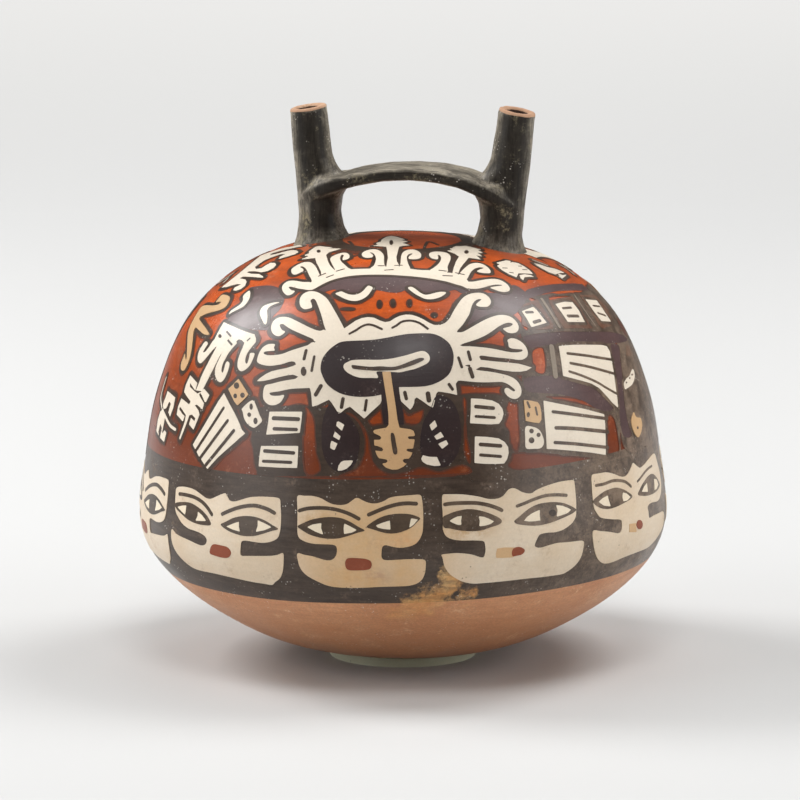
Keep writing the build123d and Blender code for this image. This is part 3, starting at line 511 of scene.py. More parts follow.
# The heads round the waist; the one at the photograph's left edge repeats its neighbour
HEAD_LEFT = [
    ("round", "panel", 178, 488, 183, 486.6, 190, 487.6, 196, 490, 202, 494.4, 207, 498, 212, 498.8, 218, 496.2,
     223, 494, 226.4, 493.4, 228.6, 497, 231, 500.8, 236, 501.4, 243, 499.4, 250, 497.4, 258, 496.6, 268, 496.8,
     279.6, 498.4, 281, 506, 281.6, 514, 281.4, 524, 280.4, 532, 278, 538, 272, 541.4, 264, 542.6, 255, 541.8,
     247, 540.4, 242.4, 541.6, 241.6, 548, 242, 555, 250, 555.6, 260, 555.6, 270, 555.6, 278, 554.6, 283.6, 552.8,
     284.4, 560, 283.6, 570, 281, 577, 276, 581, 273, 583.6, 265, 582.4, 255, 581, 243, 578.6, 230, 575.8,
     215, 572.4, 203, 570, 195, 567.4, 187, 562, 180, 555, 175, 547, 172.6, 538, 173, 529, 177, 533.6, 183, 537,
     190, 540, 196, 543, 202, 545.2, 206.6, 544, 208, 540, 206, 536, 201, 532.6, 196, 530.6, 190, 528.6, 184, 524,
     180, 518, 177, 511, 176.6, 503, 177, 495),
    ("line", "feature", 3.6, 181, 494, 188, 495, 196, 497.4, 203, 501.6, 208.6, 507.6, 213, 514.6),
    ("line", "feature", 3.8, 223.4, 514, 230, 511, 238, 508, 247, 506, 256, 505.6, 264, 507.6, 270, 510, 275, 513),
    ("round", "feature", 176.6, 503.4, 184, 502, 192, 503, 199, 507, 205, 512, 209.6, 518, 212, 524.8, 204, 525,
     196, 523, 189, 519.4, 183, 514, 178, 509),
    ("sharp", "eye", 179, 506.8, 184, 505.6, 188, 505.4, 187.4, 510, 186.6, 514.8, 182.6, 511),
    ("sharp", "eye", 199.4, 511.6, 203.6, 515.4, 207.6, 521, 202, 521, 197, 520.6, 199, 516),
    ("round", "feature", 221.8, 524.6, 227, 521.6, 234, 518, 242, 516.2, 250, 516, 258, 517.4, 266, 520.6, 273, 525,
     279, 529, 272, 531, 264, 533.6, 255, 535.8, 245, 535.8, 236, 533.6, 228, 530),
    ("sharp", "eye", 227.6, 526.4, 233, 524, 240, 521.6, 240, 527, 241, 531.6, 234, 529.6),
    ("sharp", "eye", 258.6, 520.2, 265, 523, 272.4, 527, 266, 530, 256.6, 531.8, 258.6, 526),
    ("round", "mouth", 211.4, 549, 213, 545.2, 216, 543.8, 222, 545, 228, 546.6, 231.4, 550, 232, 554, 229, 557.2,
     223, 557, 216, 555, 211.4, 553),
]
HEAD_MIDDLE = [
    ("round", "panel", 298, 496, 305, 495.8, 312, 495.8, 318, 497, 323, 499, 328, 502, 334, 504.4, 342, 505,
     348, 503.6, 353, 500, 356, 498, 359, 498.2, 363, 500.4, 370, 503, 377, 503.2, 384, 501, 389, 498, 395, 496.4,
     403, 495.6, 412, 495, 420, 494.8, 422, 500, 422.8, 508, 423.2, 516, 423, 524, 422.4, 532, 419.6, 539, 415, 544,
     408, 546.6, 400, 547.6, 392, 546.4, 386, 545, 382.6, 546.6, 381.6, 552, 382, 558, 386, 559.8, 395, 559.6,
     405, 559, 415, 558.8, 424.6, 559.6, 425.6, 566, 424.6, 573, 422, 578.6, 417, 582.6, 408, 585, 395, 585.6,
     380, 586, 365, 586.8, 350, 587, 338, 586.4, 328, 584.6, 318, 580.4, 308, 575, 302, 569, 299, 562, 298, 553.2,
     305, 554.6, 313, 556, 320, 558.2, 327, 560, 332, 559.6, 336, 556, 337.4, 550.6, 336.4, 546, 332, 544.4,
     322, 544, 314, 543.6, 306, 541.6, 300, 538, 298, 532, 298, 520, 298, 508),
    ("line", "feature", 3.6, 300, 510.6, 307, 508.6, 316, 507.8, 326, 508, 336, 509.4, 345, 512, 353, 515.4,
     359, 518.8),
    ("line", "feature", 3.8, 369, 514.6, 376, 511.6, 384, 508.2, 392, 505.6, 400, 503.8, 408, 503.2, 416, 503.6),
    ("round", "feature", 298, 526.4, 304, 523, 312, 519.6, 322, 517.6, 332, 517, 342, 518.2, 351, 522, 358, 526.4,
     365, 530.4, 358, 532.6, 348, 536, 338, 538.4, 328, 538.6, 318, 537, 310, 534.4, 304, 531),
    ("sharp", "eye", 307.6, 527, 313, 524.4, 322, 523, 321.6, 528, 323.8, 534.6, 316, 531.6),
    ("sharp", "eye", 344.6, 523.4, 350, 526, 357.4, 530, 352, 532.6, 344.4, 534, 344, 528),
    ("round", "feature", 366.8, 527, 371, 523, 378, 518.6, 386, 515.4, 395, 513.8, 404, 513.6, 412, 514.6, 420, 518,
     417, 522, 412, 527, 405, 530.6, 397, 533, 388, 533.4, 380, 531.6, 373, 529.4),
    ("sharp", "eye", 376, 525.4, 382, 522.8, 390, 520.4, 390.6, 529.6, 384, 529, 378, 527.6),
    ("sharp", "eye", 411, 518.2, 418, 519.4, 413.6, 524.6, 409, 528, 410, 523),
    ("round", "mouth", 345.4, 563, 346.6, 559, 350, 557.6, 358, 557.8, 366, 558.6, 370.6, 560.6, 372, 564,
     370.6, 568, 366, 569.4, 358, 569.8, 350, 569.6, 346.6, 567.6),
]
HEAD_RIGHT = [
    ("round", "panel", 442.3, 495.1, 447, 494.2, 455, 494, 464, 494.4, 472.4, 495.5, 479, 496.6, 484.5, 498.2,
     490, 499, 495.5, 498.8, 500, 497.5, 503.2, 495.3, 505.4, 492.6, 507.6, 489.8, 511, 488.2, 513.7, 488.2,
     517, 489.6, 520.8, 491.8, 526.3, 493.3, 531.3, 493.1, 535, 490.4, 539.5, 488.2, 545, 486, 551.6, 483.8,
     558.2, 481.9, 565, 480.8, 572.5, 480.1, 573.8, 484.3, 574.5, 492, 575.3, 501, 575.4, 508, 575.3, 514,
     574.2, 518.4, 571.4, 522.8, 567, 526.7, 561.5, 530, 553.8, 532.2, 547.2, 532.5, 540.6, 533.8, 538, 535.5,
     536, 539.3, 534, 544.3, 534.6, 546.5, 538.4, 547.6, 544, 546.5, 550.5, 544.3, 558.2, 542.6, 567, 542.1,
     575.8, 541, 582.6, 541, 582.6, 547, 581.3, 553.6, 579, 559, 574.7, 564.6, 568, 570, 561.5, 573.4, 551.6, 575,
     540.6, 576.5, 528.5, 577.6, 516.4, 579, 505.4, 580.2, 494.4, 581.3, 483.4, 582.2, 473.5, 582.8, 465.8, 581.7,
     459.2, 579.5, 451.5, 575, 446.6, 570, 443.8, 564.6, 442.5, 558, 441.4, 554.5, 448.2, 553.4, 457, 552.8,
     465.8, 553.4, 472.4, 554.5, 478, 556.4, 482.3, 557.2, 484, 555.3, 485.1, 550.3, 484.7, 544.8, 483.4, 541.3,
     479, 540.4, 470.2, 540.2, 461.4, 540.4, 453.7, 539.5, 448.2, 537.7, 445, 535, 443, 530.5, 442.5, 527,
     442.5, 514, 441.8, 505),
    ("line", "feature", 3.7, 444.7, 504.3, 449.3, 503.6, 457, 503, 465.8, 502.8, 474.6, 502.8, 483.4, 504,
     491, 506, 496.6, 508, 501, 510.2),
    ("line", "feature", 3.2, 516.4, 506, 523, 503.6, 529.6, 500.6, 537.3, 497.7, 545, 495.5, 552.7, 494.8,
     559.3, 494.8, 565.4, 495.3),
    ("round", "feature", 442.5, 517.5, 447, 514.6, 453.7, 511.8, 461.4, 509.8, 469, 509, 476.8, 509.8, 484.5, 511.8,
     492.2, 514.6, 497.7, 517.3, 500.8, 520, 500.5, 522.8, 497.2, 525, 490, 527.2, 482.3, 530, 474.6, 531,
     465.8, 531, 457, 530, 449.3, 528.3, 443.3, 527),
    ("sharp", "eye", 449, 520.8, 452.6, 518.4, 457, 516.4, 461.4, 515.7, 460.5, 520, 461, 525, 457, 524.7,
     452.6, 523),
    ("sharp", "eye", 478, 516, 483.4, 516.8, 489, 519, 493.3, 521.2, 490, 524, 484.5, 525.6, 478.5, 526.3,
     479.2, 521.2),
    ("round", "feature", 513.3, 521.2, 516.4, 518.4, 520.8, 514.6, 525.2, 510.7, 530.7, 507, 537.3, 504, 545, 502.5,
     553.8, 502, 561.5, 502.8, 568, 505, 573.6, 508, 575.3, 510.2, 571.4, 513.5, 564.8, 516.8, 557, 520,
     549.4, 522.8, 540.6, 525, 531.8, 525.6, 523, 525, 516.4, 524),
    ("sharp", "eye", 523, 520.8, 526.3, 516.8, 530.7, 513.5, 535, 511.3, 539, 509.8, 538.6, 515, 539.3, 520.4,
     534, 521.2, 528.5, 521.5),
    ("sharp", "eye", 555, 505, 561.5, 505.8, 567, 508, 570, 509.8, 566.5, 513, 561.5, 515, 555.5, 516.8,
     556.6, 510.7),
    ("sharp", "tan_mouth", 496.4, 548.3, 503.2, 547.2, 511, 547.2, 514, 547.3, 512.5, 552, 513, 556.8, 503.2, 557.5,
     495.5, 557.5, 495.3, 553.6),
    ("dot", "pupil", 551.6, 512.9, 3.5, 3.5),
    ("round", "mouth", 516.4, 546.7, 520.3, 547, 523.6, 549, 523.6, 551.6, 520.8, 554.2, 516.4, 555.3, 512, 555.8,
     511, 552, 512.6, 548.3),
]


HEAD_EDGE = [
    ("round", "panel", 591.2, 475.3, 598, 473.5, 605, 472.3, 610.6, 473.2, 616, 475.3, 620.5, 476.8, 624.6, 476,
     627.7, 472, 630.5, 465.7, 631.8, 463, 634, 464.8, 638.6, 467.9, 643, 464.3, 646.7, 459.8, 650.6, 455, 653.2, 454,
     655.7, 462.5, 658, 471.5, 659.3, 480.5, 659.7, 489.5, 658.4, 496.8, 655.7, 501.3, 649.4, 503, 646.2, 506.7,
     647, 512, 648, 517.9, 652, 515.7, 657.5, 513, 661.6, 511.4, 662.6, 517, 661.4, 526, 657.6, 534, 652.6, 541,
     646, 547.2, 637.7, 550.8, 628.6, 554.4, 619.6, 558, 612.4, 561.2, 605.2, 563, 599.8, 561.6, 595.3, 555.3,
     592.6, 543.6, 592.2, 531, 599.8, 531, 609.7, 531.9, 617.8, 533.2, 620.5, 530, 621, 523.8, 619.6, 519.7,
     610.6, 519.3, 599.8, 517.5, 595.3, 512, 593, 507, 591.6, 495, 591, 485),
    ("line", "feature", 3, 595, 485.5, 603, 484, 611, 481, 617, 480.5, 623, 481.5, 627, 484, 629.5, 486.5),
    ("line", "feature", 2.4, 636, 481.5, 639, 478, 642.5, 473, 646, 469, 650, 466),
    ("round", "feature", 592, 501, 597, 496, 603, 491.6, 609, 489, 615, 487.6, 621, 489, 626, 491.6, 631, 496,
     628, 500, 622, 503.5, 615, 507, 608, 509, 601, 508.5, 595, 505.6),
    ("sharp", "eye", 597.5, 502, 601, 498.5, 606.5, 495.5, 607.5, 500, 609.5, 506.5, 603, 505.8),
    ("sharp", "eye", 621.5, 492.5, 625, 493.5, 629, 497, 626, 500.5, 622, 501.5, 621, 497),
    ("round", "feature", 636.5, 494.5, 638.4, 489, 641.6, 483, 645.6, 477, 649.6, 474, 653, 475.4, 656, 479.4,
     658, 485, 656, 490, 652, 493.5, 646, 495.8, 640, 496),
    ("sharp", "eye", 640, 492, 642.5, 486.5, 645, 483, 645.5, 487, 646, 492),
    ("sharp", "eye", 652, 479, 654.6, 479.6, 656.4, 484.6, 654.6, 489, 652.6, 490.4, 652.4, 485),
    ("sharp", "tan_mouth", 628, 524, 634.6, 523, 635, 532, 628, 532), ("dot", "mouth", 638, 524.4, 3, 4.6),
]


# Helpers for meshes and pieces

def chosen(label):
    """One of the sizes in the panel, without the small error of how it is stored."""
    return round(getattr(bpy.context.scene.bottle_sizes, label), 8)


def keep(name, bm, finishes, replaces=(), sharp=SHARP):
    """Makes a piece of the bottle: crisp edges, smooth faces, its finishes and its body."""
    for edge in bm.edges:
        edge.smooth = len(edge.link_faces) != 2 or edge.calc_face_angle(0) < sharp
    mesh = bpy.data.meshes.new(name)
    bm.to_mesh(mesh)
    bm.free()
    for polygon in mesh.polygons:
        polygon.use_smooth = True
    piece = bpy.data.objects.new(name, mesh)
    bpy.context.scene.collection.objects.link(piece)
    for finish in finishes:
        mesh.materials.append(bpy.data.materials[finish])
    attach(piece, "bottle")
    if replaces:
        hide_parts(*replaces)
    return piece


def coat_shell(low, high):
    """A closed ring of slip between two levels, as thick as the coat."""
    bm = bmesh.new()
    lifts = bm.verts.layers.float.new("lift")
    levels = bm.verts.layers.float.new("level")
    inside = (HEIGHTS > low) & (HEIGHTS < high)
    chain = [low] + list(HEIGHTS[inside][::9]) + [high]
    ring = [(z, 0.0) for z in chain] + [(z, -COAT) for z in reversed(chain)]
    verts = []
    for z, lift in ring:
        r = float(np.interp(z, HEIGHTS, RADII))
        vert = bm.verts.new((max(r + lift, 0), 0, z))
        vert[lifts], vert[levels] = lift, z
        verts.append(vert)
    edges = [bm.edges.new(pair) for pair in zip(verts, verts[1:] + verts[:1])]
    bmesh.ops.spin(bm, geom=verts + edges, cent=(0, 0, 0), axis=(0, 0, 1), dvec=(0, 0, 0),
                   angle=math.tau, steps=TURNS, use_merge=True, use_duplicate=False)
    bmesh.ops.remove_doubles(bm, verts=bm.verts, dist=0.01 * MM)
    turns = [math.atan2(vert.co.x, -vert.co.y) - CAMERA_AZIMUTH for vert in bm.verts]
    moved = on_body(turns, [vert[levels] for vert in bm.verts], [vert[lifts] for vert in bm.verts])
    for vert, place in zip(bm.verts, moved):
        vert.co = place
    bmesh.ops.recalc_face_normals(bm, faces=bm.faces)
    return bm


# Painted slip: every layer is a field of distances to its shapes on the unrolled body, and its edge is
# where the field crosses zero. Layers become thin plates of slip that lie on the coat.

CELL = 0.3 * MM
FAR = 4 * MM  # distances are only kept up to this
DOT_POINTS = 14
SLACK = 0.025 * MM  # how far a thinned outline may run from the full one
LONGEST_SIDE = 3.5 * MM  # of a thinned outline
INNER_SPACING = 2.4 * MM  # of the points inside a plate, which let it follow the body
INNER_MARGIN = 0.8 * MM  # between those points and the plate's outline
PLATE_DEPTH = 0.12 * MM + COAT / 2
OUTLINE_WAVER = 0.25 * MM
PLUME_OUTLINE, PLUME_LIFT = 1.0 * MM, 0.02 * MM
BACK_END = -131 * MM  # where the dark ground that runs round the side ends, on the sheet's left
HEAD_SPACING = math.radians(35.5)


class RoundSheet:
    """The wall of the body unrolled round its axis, so that small shapes keep their proportions.

    It reaches a little more than half way round, from below the heads to near the middle of the crown,
    and is laid on the front and on the back.
    """
    us = np.arange(-147 * MM, 123 * MM, CELL)
    vs = np.arange(float(np.interp(22 * MM, HEIGHTS, ROWS)), float(ROWS[RADII > 20 * MM][-1]), CELL)
    turning = WIDEST
    sides = (0.0, math.pi)

    def lay(self, turns, radii, heights):
        """Places on the sheet of places on the body."""
        levels = heights
        for _ in range(2):
            levels = heights - BAND_TILT * radii * np.sin(turns) * fade(levels)
        return np.stack([turns * WIDEST, np.interp(levels, HEIGHTS, ROWS)], axis=1)

    def scale(self, vs):
        """How much larger shapes are on the sheet than on the body, row by row."""
        return np.interp(vs, ROWS, WIDEST / np.maximum(RADII, NARROWEST))

    def raised(self, flat, lift, turned):
        """Places on the body, at a lift, of places on the sheet."""
        return on_body(flat[:, 0] / WIDEST + turned, np.interp(flat[:, 1], ROWS, HEIGHTS), lift)


class CrownSheet:
    """The crown seen straight down, for what is painted across its middle. It works as the other sheet does."""
    us = np.arange(-30 * MM, 30 * MM, CELL)
    vs = np.arange(-66 * MM, 8 * MM, CELL)
    turning = 0.0
    sides = (0.0,)

    def lay(self, turns, radii, heights):
        return np.stack([radii * np.sin(turns), -radii * np.cos(turns)], axis=1)

    def scale(self, vs):
        return np.ones(len(vs))

    def raised(self, flat, lift, turned):
        reach = np.hypot(flat[:, 0], flat[:, 1])
        top = RADII.argmax()
        heights = np.interp(reach, RADII[top:][::-1], HEIGHTS[top:][::-1])
        return on_body(np.arctan2(flat[:, 0], -flat[:, 1]) + turned, heights, lift, tilted=False)


WALL, CROWN = RoundSheet(), CrownSheet()


def rounded(points, closed, parts):
    """Points of a smooth line through all the given ones, with so many parts between two of them."""
    points = np.array(points, float)
    size = len(points)
    if closed:
        pick = lambda i: points[i % size]
        spans = range(size)
    else:
        pick = lambda i: points[min(max(i, 0), size - 1)]
        spans = range(size - 1)
    out = []
    for i in spans:
        a, b, c, d = pick(i - 1), pick(i), pick(i + 1), pick(i + 2)
        for k in range(parts):
            t = k / parts
            out.append(0.5 * (2 * b + (c - a) * t + (2 * a - 5 * b + 4 * c - d) * t**2
                              + (3 * b - a - 3 * c + d) * t**3))
    if not closed:
        out.append(points[-1])
    return np.array(out)


def split_long(points, closed, longest=3.0):
    """The same line with extra points where it is long and straight."""
    ends = list(zip(points, points[1:] + (points[:1] if closed else [])))
    out = []
    for a, b in ends:
        parts = max(1, int(math.dist(a, b) / longest))
        out += [(a[0] + (b[0] - a[0]) * k / parts, a[1] + (b[1] - a[1]) * k / parts) for k in range(parts)]
    return out if closed else out + [points[-1]]


def shape_line(shape):
    """A shape's line on the body, whether it is closed, and half the width of its brush."""
    kind, numbers = shape[0], list(shape[2:])
    half = 0.0
    if kind == "line":
        half = numbers.pop(0) / 2 / PIXELS_PER_METRE
    if kind == "dot":
        x, y, across, tall = numbers
        turns = [k * math.tau / DOT_POINTS for k in range(DOT_POINTS)]
        points = [(x + across * math.cos(turn), y + tall * math.sin(turn)) for turn in turns]
    else:
        points = list(zip(numbers[::2], numbers[1::2]))
    closed = kind != "line"
    if kind in ("round", "dot"):
        points = rounded(points, closed, 4)
    elif kind == "line" and len(points) > 2:
        points = rounded(points, closed, 5)
    else:
        points = split_long(points, closed)
    return on_photograph(points), closed, half


def add_shape(sheet, field, line, closed, half):
    """Lowers the field to the distance from a shape, negative inside."""
    low = np.maximum(((line.min(axis=0) - (sheet.us[0], sheet.vs[0]) - FAR) / CELL).astype(int), 0)
    high = ((line.max(axis=0) - (sheet.us[0], sheet.vs[0]) + FAR) / CELL).astype(int) + 2
    us, vs = sheet.us[low[0]:high[0]], sheet.vs[low[1]:max(high[1], 0)]
    if not len(us) or not len(vs):
        return
    near = np.full((len(vs), len(us)), FAR)
    inside = np.zeros(near.shape, bool)
    ends = np.concatenate([line[1:], line[:1]]) if closed else line[1:]
    for a, b in zip(line, ends):
        first = np.minimum(a, b) - FAR - (us[0], vs[0])
        last = np.maximum(a, b) + FAR - (us[0], vs[0])
        i0, j0 = np.maximum((first / CELL).astype(int), 0)
        i1, j1 = (last / CELL).astype(int) + 2
        u, v = us[i0:i1][None, :], vs[j0:j1][:, None]
        du, dv = b - a
        length = max(du * du + dv * dv, 1e-16)
        t = np.clip(((u - a[0]) * du + (v - a[1]) * dv) / length, 0, 1)
        away = np.hypot(u - a[0] - t * du, v - a[1] - t * dv)
        near[j0:j1, i0:i1] = np.minimum(near[j0:j1, i0:i1], away)
        if closed and a[1] != b[1]:
            rows = np.nonzero((vs > min(a[1], b[1])) & (vs <= max(a[1], b[1])))[0]
            cross = a[0] + (vs[rows] - a[1]) / dv * du
            inside[rows] ^= us[None, :] > cross[:, None]
    near = np.where(inside, -near, near) - half * sheet.scale(vs)[:, None]
    part = field[low[1]:high[1], low[0]:high[0]]
    np.minimum(part, near[:part.shape[0], :part.shape[1]], out=part)


def layer_field(shapes, names, shift=0.0, sheet=WALL):
    """The field of all the shapes in some layers."""
    field = np.full((len(sheet.vs), len(sheet.us)), FAR)
    for shape in shapes:
        if shape[1] in names:
            hits, closed, half = shape_line(shape)
            add_shape(sheet, field, sheet.lay(*hits) + (shift * sheet.turning, 0), closed, half)
    return field


def read_between(grid, rows, cols):
    """Values between the cells of a grid."""
    rows = np.clip(rows, 0, grid.shape[0] - 1.001)
    cols = np.clip(cols, 0, grid.shape[1] - 1.001)
    j, i = rows.astype(int), cols.astype(int)
    down, along = rows % 1, cols % 1
    return ((grid[j, i] * (1 - along) + grid[j, i + 1] * along) * (1 - down)
            + (grid[j + 1, i] * (1 - along) + grid[j + 1, i + 1] * along) * down)


def waver(u, v):
    """The slow and the quick waver of a brushed edge."""
    return noise.noise(Vector((u, v, 0)) / (5 * MM)) + 0.5 * noise.noise(Vector((u, v, 9 * MM)) / (1.6 * MM))


def brushed(field, amount, sheet=WALL, step=8):
    """A field whose edge wavers a little, as a brushed edge does."""
    rough = np.array([[waver(u, v) for u in sheet.us[::step]] for v in sheet.vs[::step]])
    rows, cols = np.arange(len(sheet.vs))[:, None] / step, np.arange(len(sheet.us))[None, :] / step
    return field + amount * read_between(rough, rows, cols)


def edges_of_field(sheet, field):
    """The closed lines where a field crosses zero."""
    field = field.copy()
    field[0], field[-1], field[:, 0], field[:, -1] = FAR, FAR, FAR, FAR
    field[np.abs(field) < 1e-9] = 1e-9
    sign = field < 0
    spots = {}

    def crossing(j, i, down):
        key = (j, i, down)
        if key not in spots:
            other = field[j + 1, i] if down else field[j, i + 1]
            t = field[j, i] / (field[j, i] - other)
            spots[key] = (sheet.us[i] + (0 if down else t * CELL), sheet.vs[j] + (t * CELL if down else 0))
        return key

    links = {}
    corners = sign[:-1, :-1] * 1 + sign[:-1, 1:] * 2 + sign[1:, 1:] * 4 + sign[1:, :-1] * 8
    # which sides of a cell the line joins, by the cell's corners: left, right, top, bottom
    walks = {1: "LT", 2: "TR", 3: "LR", 4: "RB", 5: "LTRB", 6: "TB", 7: "LB", 8: "BL", 9: "BT", 10: "TRBL",
             11: "BR", 12: "RL", 13: "RT", 14: "TL"}
    for j, i in zip(*np.nonzero((corners > 0) & (corners < 15))):
        sides = {"L": (j, i, True), "R": (j, i + 1, True), "T": (j, i, False), "B": (j + 1, i, False)}
        walk = walks[int(corners[j, i])]
        for start, end in zip(walk[::2], walk[1::2]):
            a, b = crossing(*sides[start]), crossing(*sides[end])
            links.setdefault(a, []).append(b)
            links.setdefault(b, []).append(a)
    loops, used = [], set()
    for start in links:
        if start in used:
            continue
        loop, here = [], start
        while here not in used:
            used.add(here)
            loop.append(spots[here])
            onward = [key for key in links[here] if key not in used]
            if not onward:
                break
            here = onward[0]
        if len(loop) > 7:
            loops.append(np.array(loop))
    return loops


def thinned(loop):
    """A loop without the points that its shape doesn't need."""
    for _ in range(4):
        if len(loop) < 10:
            break
        before, after = np.roll(loop, 1, axis=0), np.roll(loop, -1, axis=0)
        chord = after - before
        away = np.abs(chord[:, 0] * (loop[:, 1] - before[:, 1]) - chord[:, 1] * (loop[:, 0] - before[:, 0]))
        away /= np.maximum(np.linalg.norm(chord, axis=1), 1e-9)
        drop = (away < SLACK) & (np.linalg.norm(chord, axis=1) <= LONGEST_SIDE)
        drop[1::2] = False
        loop = np.roll(loop[~drop], 1, axis=0)
    return loop


def filled(sheet, field):
    """Points and triangles that fill the field's negative part."""
    places, joins = [], []
    for loop in edges_of_field(sheet, field):
        loop = thinned(loop)
        start = len(places)
        places += [tuple(point) for point in loop]
        joins += [(start + k, start + (k + 1) % len(loop)) for k in range(len(loop))]
    stride = max(1, round(INNER_SPACING / CELL))
    for j in range(stride // 2, len(sheet.vs), stride):
        for i in range(stride // 2, len(sheet.us), stride):
            if field[j, i] < -INNER_MARGIN:
                places.append((sheet.us[i], sheet.vs[j]))
    flat, _, faces, _, _, _ = geometry.delaunay_2d_cdt([Vector(p) for p in places], joins, [], 0, 1e-7)
    flat = np.array([tuple(p) for p in flat])
    faces = np.array([face for face in faces if len(face) == 3])
    middle = (flat[faces].mean(axis=1) - (sheet.us[0], sheet.vs[0])) / CELL
    faces = faces[read_between(field, middle[:, 1], middle[:, 0]) < 0]
    used = np.unique(faces)
    number = np.full(len(flat), -1)
    number[used] = np.arange(len(used))
    return flat[used], number[faces]


def rim_of(faces):
    """The sides that only one triangle has."""
    sides = {}
    for a, b, c in faces:
        for pair in ((a, b), (b, c), (c, a)):
            if pair[::-1] in sides:
                del sides[pair[::-1]]
            else:
                sides[pair] = True
    return sides


def plate(name, field, lift, finish, replaces=(), sheet=WALL):
    """A thin layer of slip where the field is negative, on each side that the sheet covers."""
    flat, faces = filled(sheet, field)
    count = len(flat)
    verts, polygons = [], []
    for half, turned in enumerate(sheet.sides):
        top = half * 2 * count
        under = top + count
        verts += [sheet.raised(flat, lift, turned), sheet.raised(flat, lift - PLATE_DEPTH, turned)]
        polygons += [(a + top, b + top, c + top) for a, b, c in faces]
        polygons += [(c + under, b + under, a + under) for a, b, c in faces]
        polygons += [(b + top, a + top, a + under, b + under) for a, b in rim_of(faces)]
    mesh = bpy.data.meshes.new(name)
    mesh.from_pydata(np.concatenate(verts).tolist(), [], polygons)
    bm = bmesh.new()
    bm.from_mesh(mesh)
    bpy.data.meshes.remove(mesh)
    bmesh.ops.recalc_face_normals(bm, faces=bm.faces)
    return keep(name, bm, [finish], replaces)


# The spouts and the bridge, built up as closed rolls of clay and worked into one skin

SPOUTS = (
    # foot, mouth, slant of the rim towards the photograph's right
    (Vector((-27.6, 4, 135.6)) * MM, Vector((-32.05, 4, 179.35)) * MM, 8.5),
    (Vector((30.9, 4, 134.7)) * MM, Vector((36.88, 4, 179.55)) * MM, -10.5),
)
SPOUT_RADII = [(-9, 15.5), (-5, 12.8), (-2, 10.6), (0, 9.0), (2, 7.9), (5, 7.1), (9, 6.75), (16, 6.6), (26, 6.5),
               (34, 6.35), (40, 6.1), (46, 5.95)]
HANDLE_DEPTH = 4  # how far the spouts lie behind the body's axis
RIM_SLICE = 0.045  # how much the rims lean towards the front
RIM_POINTS = 56
MOUTH_REACH = 16 * MM  # only so much of a spout is cut by its rim's plane
HANDLE_CUT = 126 * MM  # the rolls are cut off here, inside the body
# along the spout, in from its axis, half width, half thickness
LEG = ((-6, 6.5, 9.5, 8.5), (-1, 3.6, 8.6, 6.2), (4, 1.7, 7.8, 6.0), (9, 1.2, 7.7, 6.0), (14, 2.0, 8.3, 6.4),
       (17.5, 3.6, 9.0, 7.2), (20, 5.6, 9.4, 8.2), (22, 8.4, 9.6, 8.6))
# along the spout, in from its axis, radius
FILLET = ((17, 6.4, 6.0), (19.5, 4.8, 6.2), (21.5, 3.2, 6.3), (23, 2.0, 6.3), (24.5, 1.1, 6.3), (26.5, 0.4, 6.3),
          (28.5, 0, 6.1))
RIGHT_FILLET_LIFT = 1.2
# across, up, half width, half thickness
STRAP = ((-33.6, 149.0, 4.4, 1.2), (-32.2, 150.0, 6.3, 1.7), (-30.0, 151.3, 8.2, 2.1), (-27.4, 152.7, 9.6, 2.3),
         (-24.4, 154.0, 10.4, 2.3), (-20.9, 155.2, 10.6, 2.2), (-14.7, 157.0, 10.7, 2.1), (-6, 158.6, 10.8, 2.0),
         (2.9, 159.1, 10.8, 2.0), (11.8, 158.6, 10.8, 2.1), (19.8, 156.9, 10.7, 2.2), (24.4, 155.2, 10.6, 2.4),
         (27.6, 153.5, 10.3, 2.4), (30.6, 151.7, 9.3, 2.2), (33.6, 149.9, 8.0, 1.9), (35.9, 148.4, 6.2, 1.6),
         (37.4, 147.2, 4.4, 1.2))
# the mouth from its outer edge over the lip into the bore: in from the outside, height;
# where there is no first number the ring has the bore's radius
MOUTH = ((0, 0.35), (0.02, 0.8), (0.2, 1.25), (0.6, 1.5), (1.2, 1.58), (1.9, 1.45), (None, 0.9), (None, -5),
         (None, -40))
# from this ring inwards the bore takes the bore colour, which is painted shade
FIRST_SHADED_BORE_RING = 6


def roll(bm, rings):
    """A closed roll of clay through some rings of points."""
    rows = [[bm.verts.new(point) for point in ring] for ring in rings]
    for one, two in zip(rows, rows[1:]):
        for k in range(len(one)):
            bm.faces.new((one[k - 1], one[k], two[k], two[k - 1]))
    bm.faces.new(rows[0][::-1])
    bm.faces.new(rows[-1])


def oval_ring(centre, along, across, wide, thick, power=2.0, count=28):
    """A ring round a centre; a higher power makes it boxier."""
    along, across = along.normalized(), across.normalized()
    up = along.cross(across).normalized()
    out = []
    for k in range(count):
        a = k * math.tau / count
        c, s = math.cos(a), math.sin(a)
        out.append(centre + across * (math.copysign(abs(c) ** (2 / power), c) * wide)
                   + up * (math.copysign(abs(s) ** (2 / power), s) * thick))
    return out


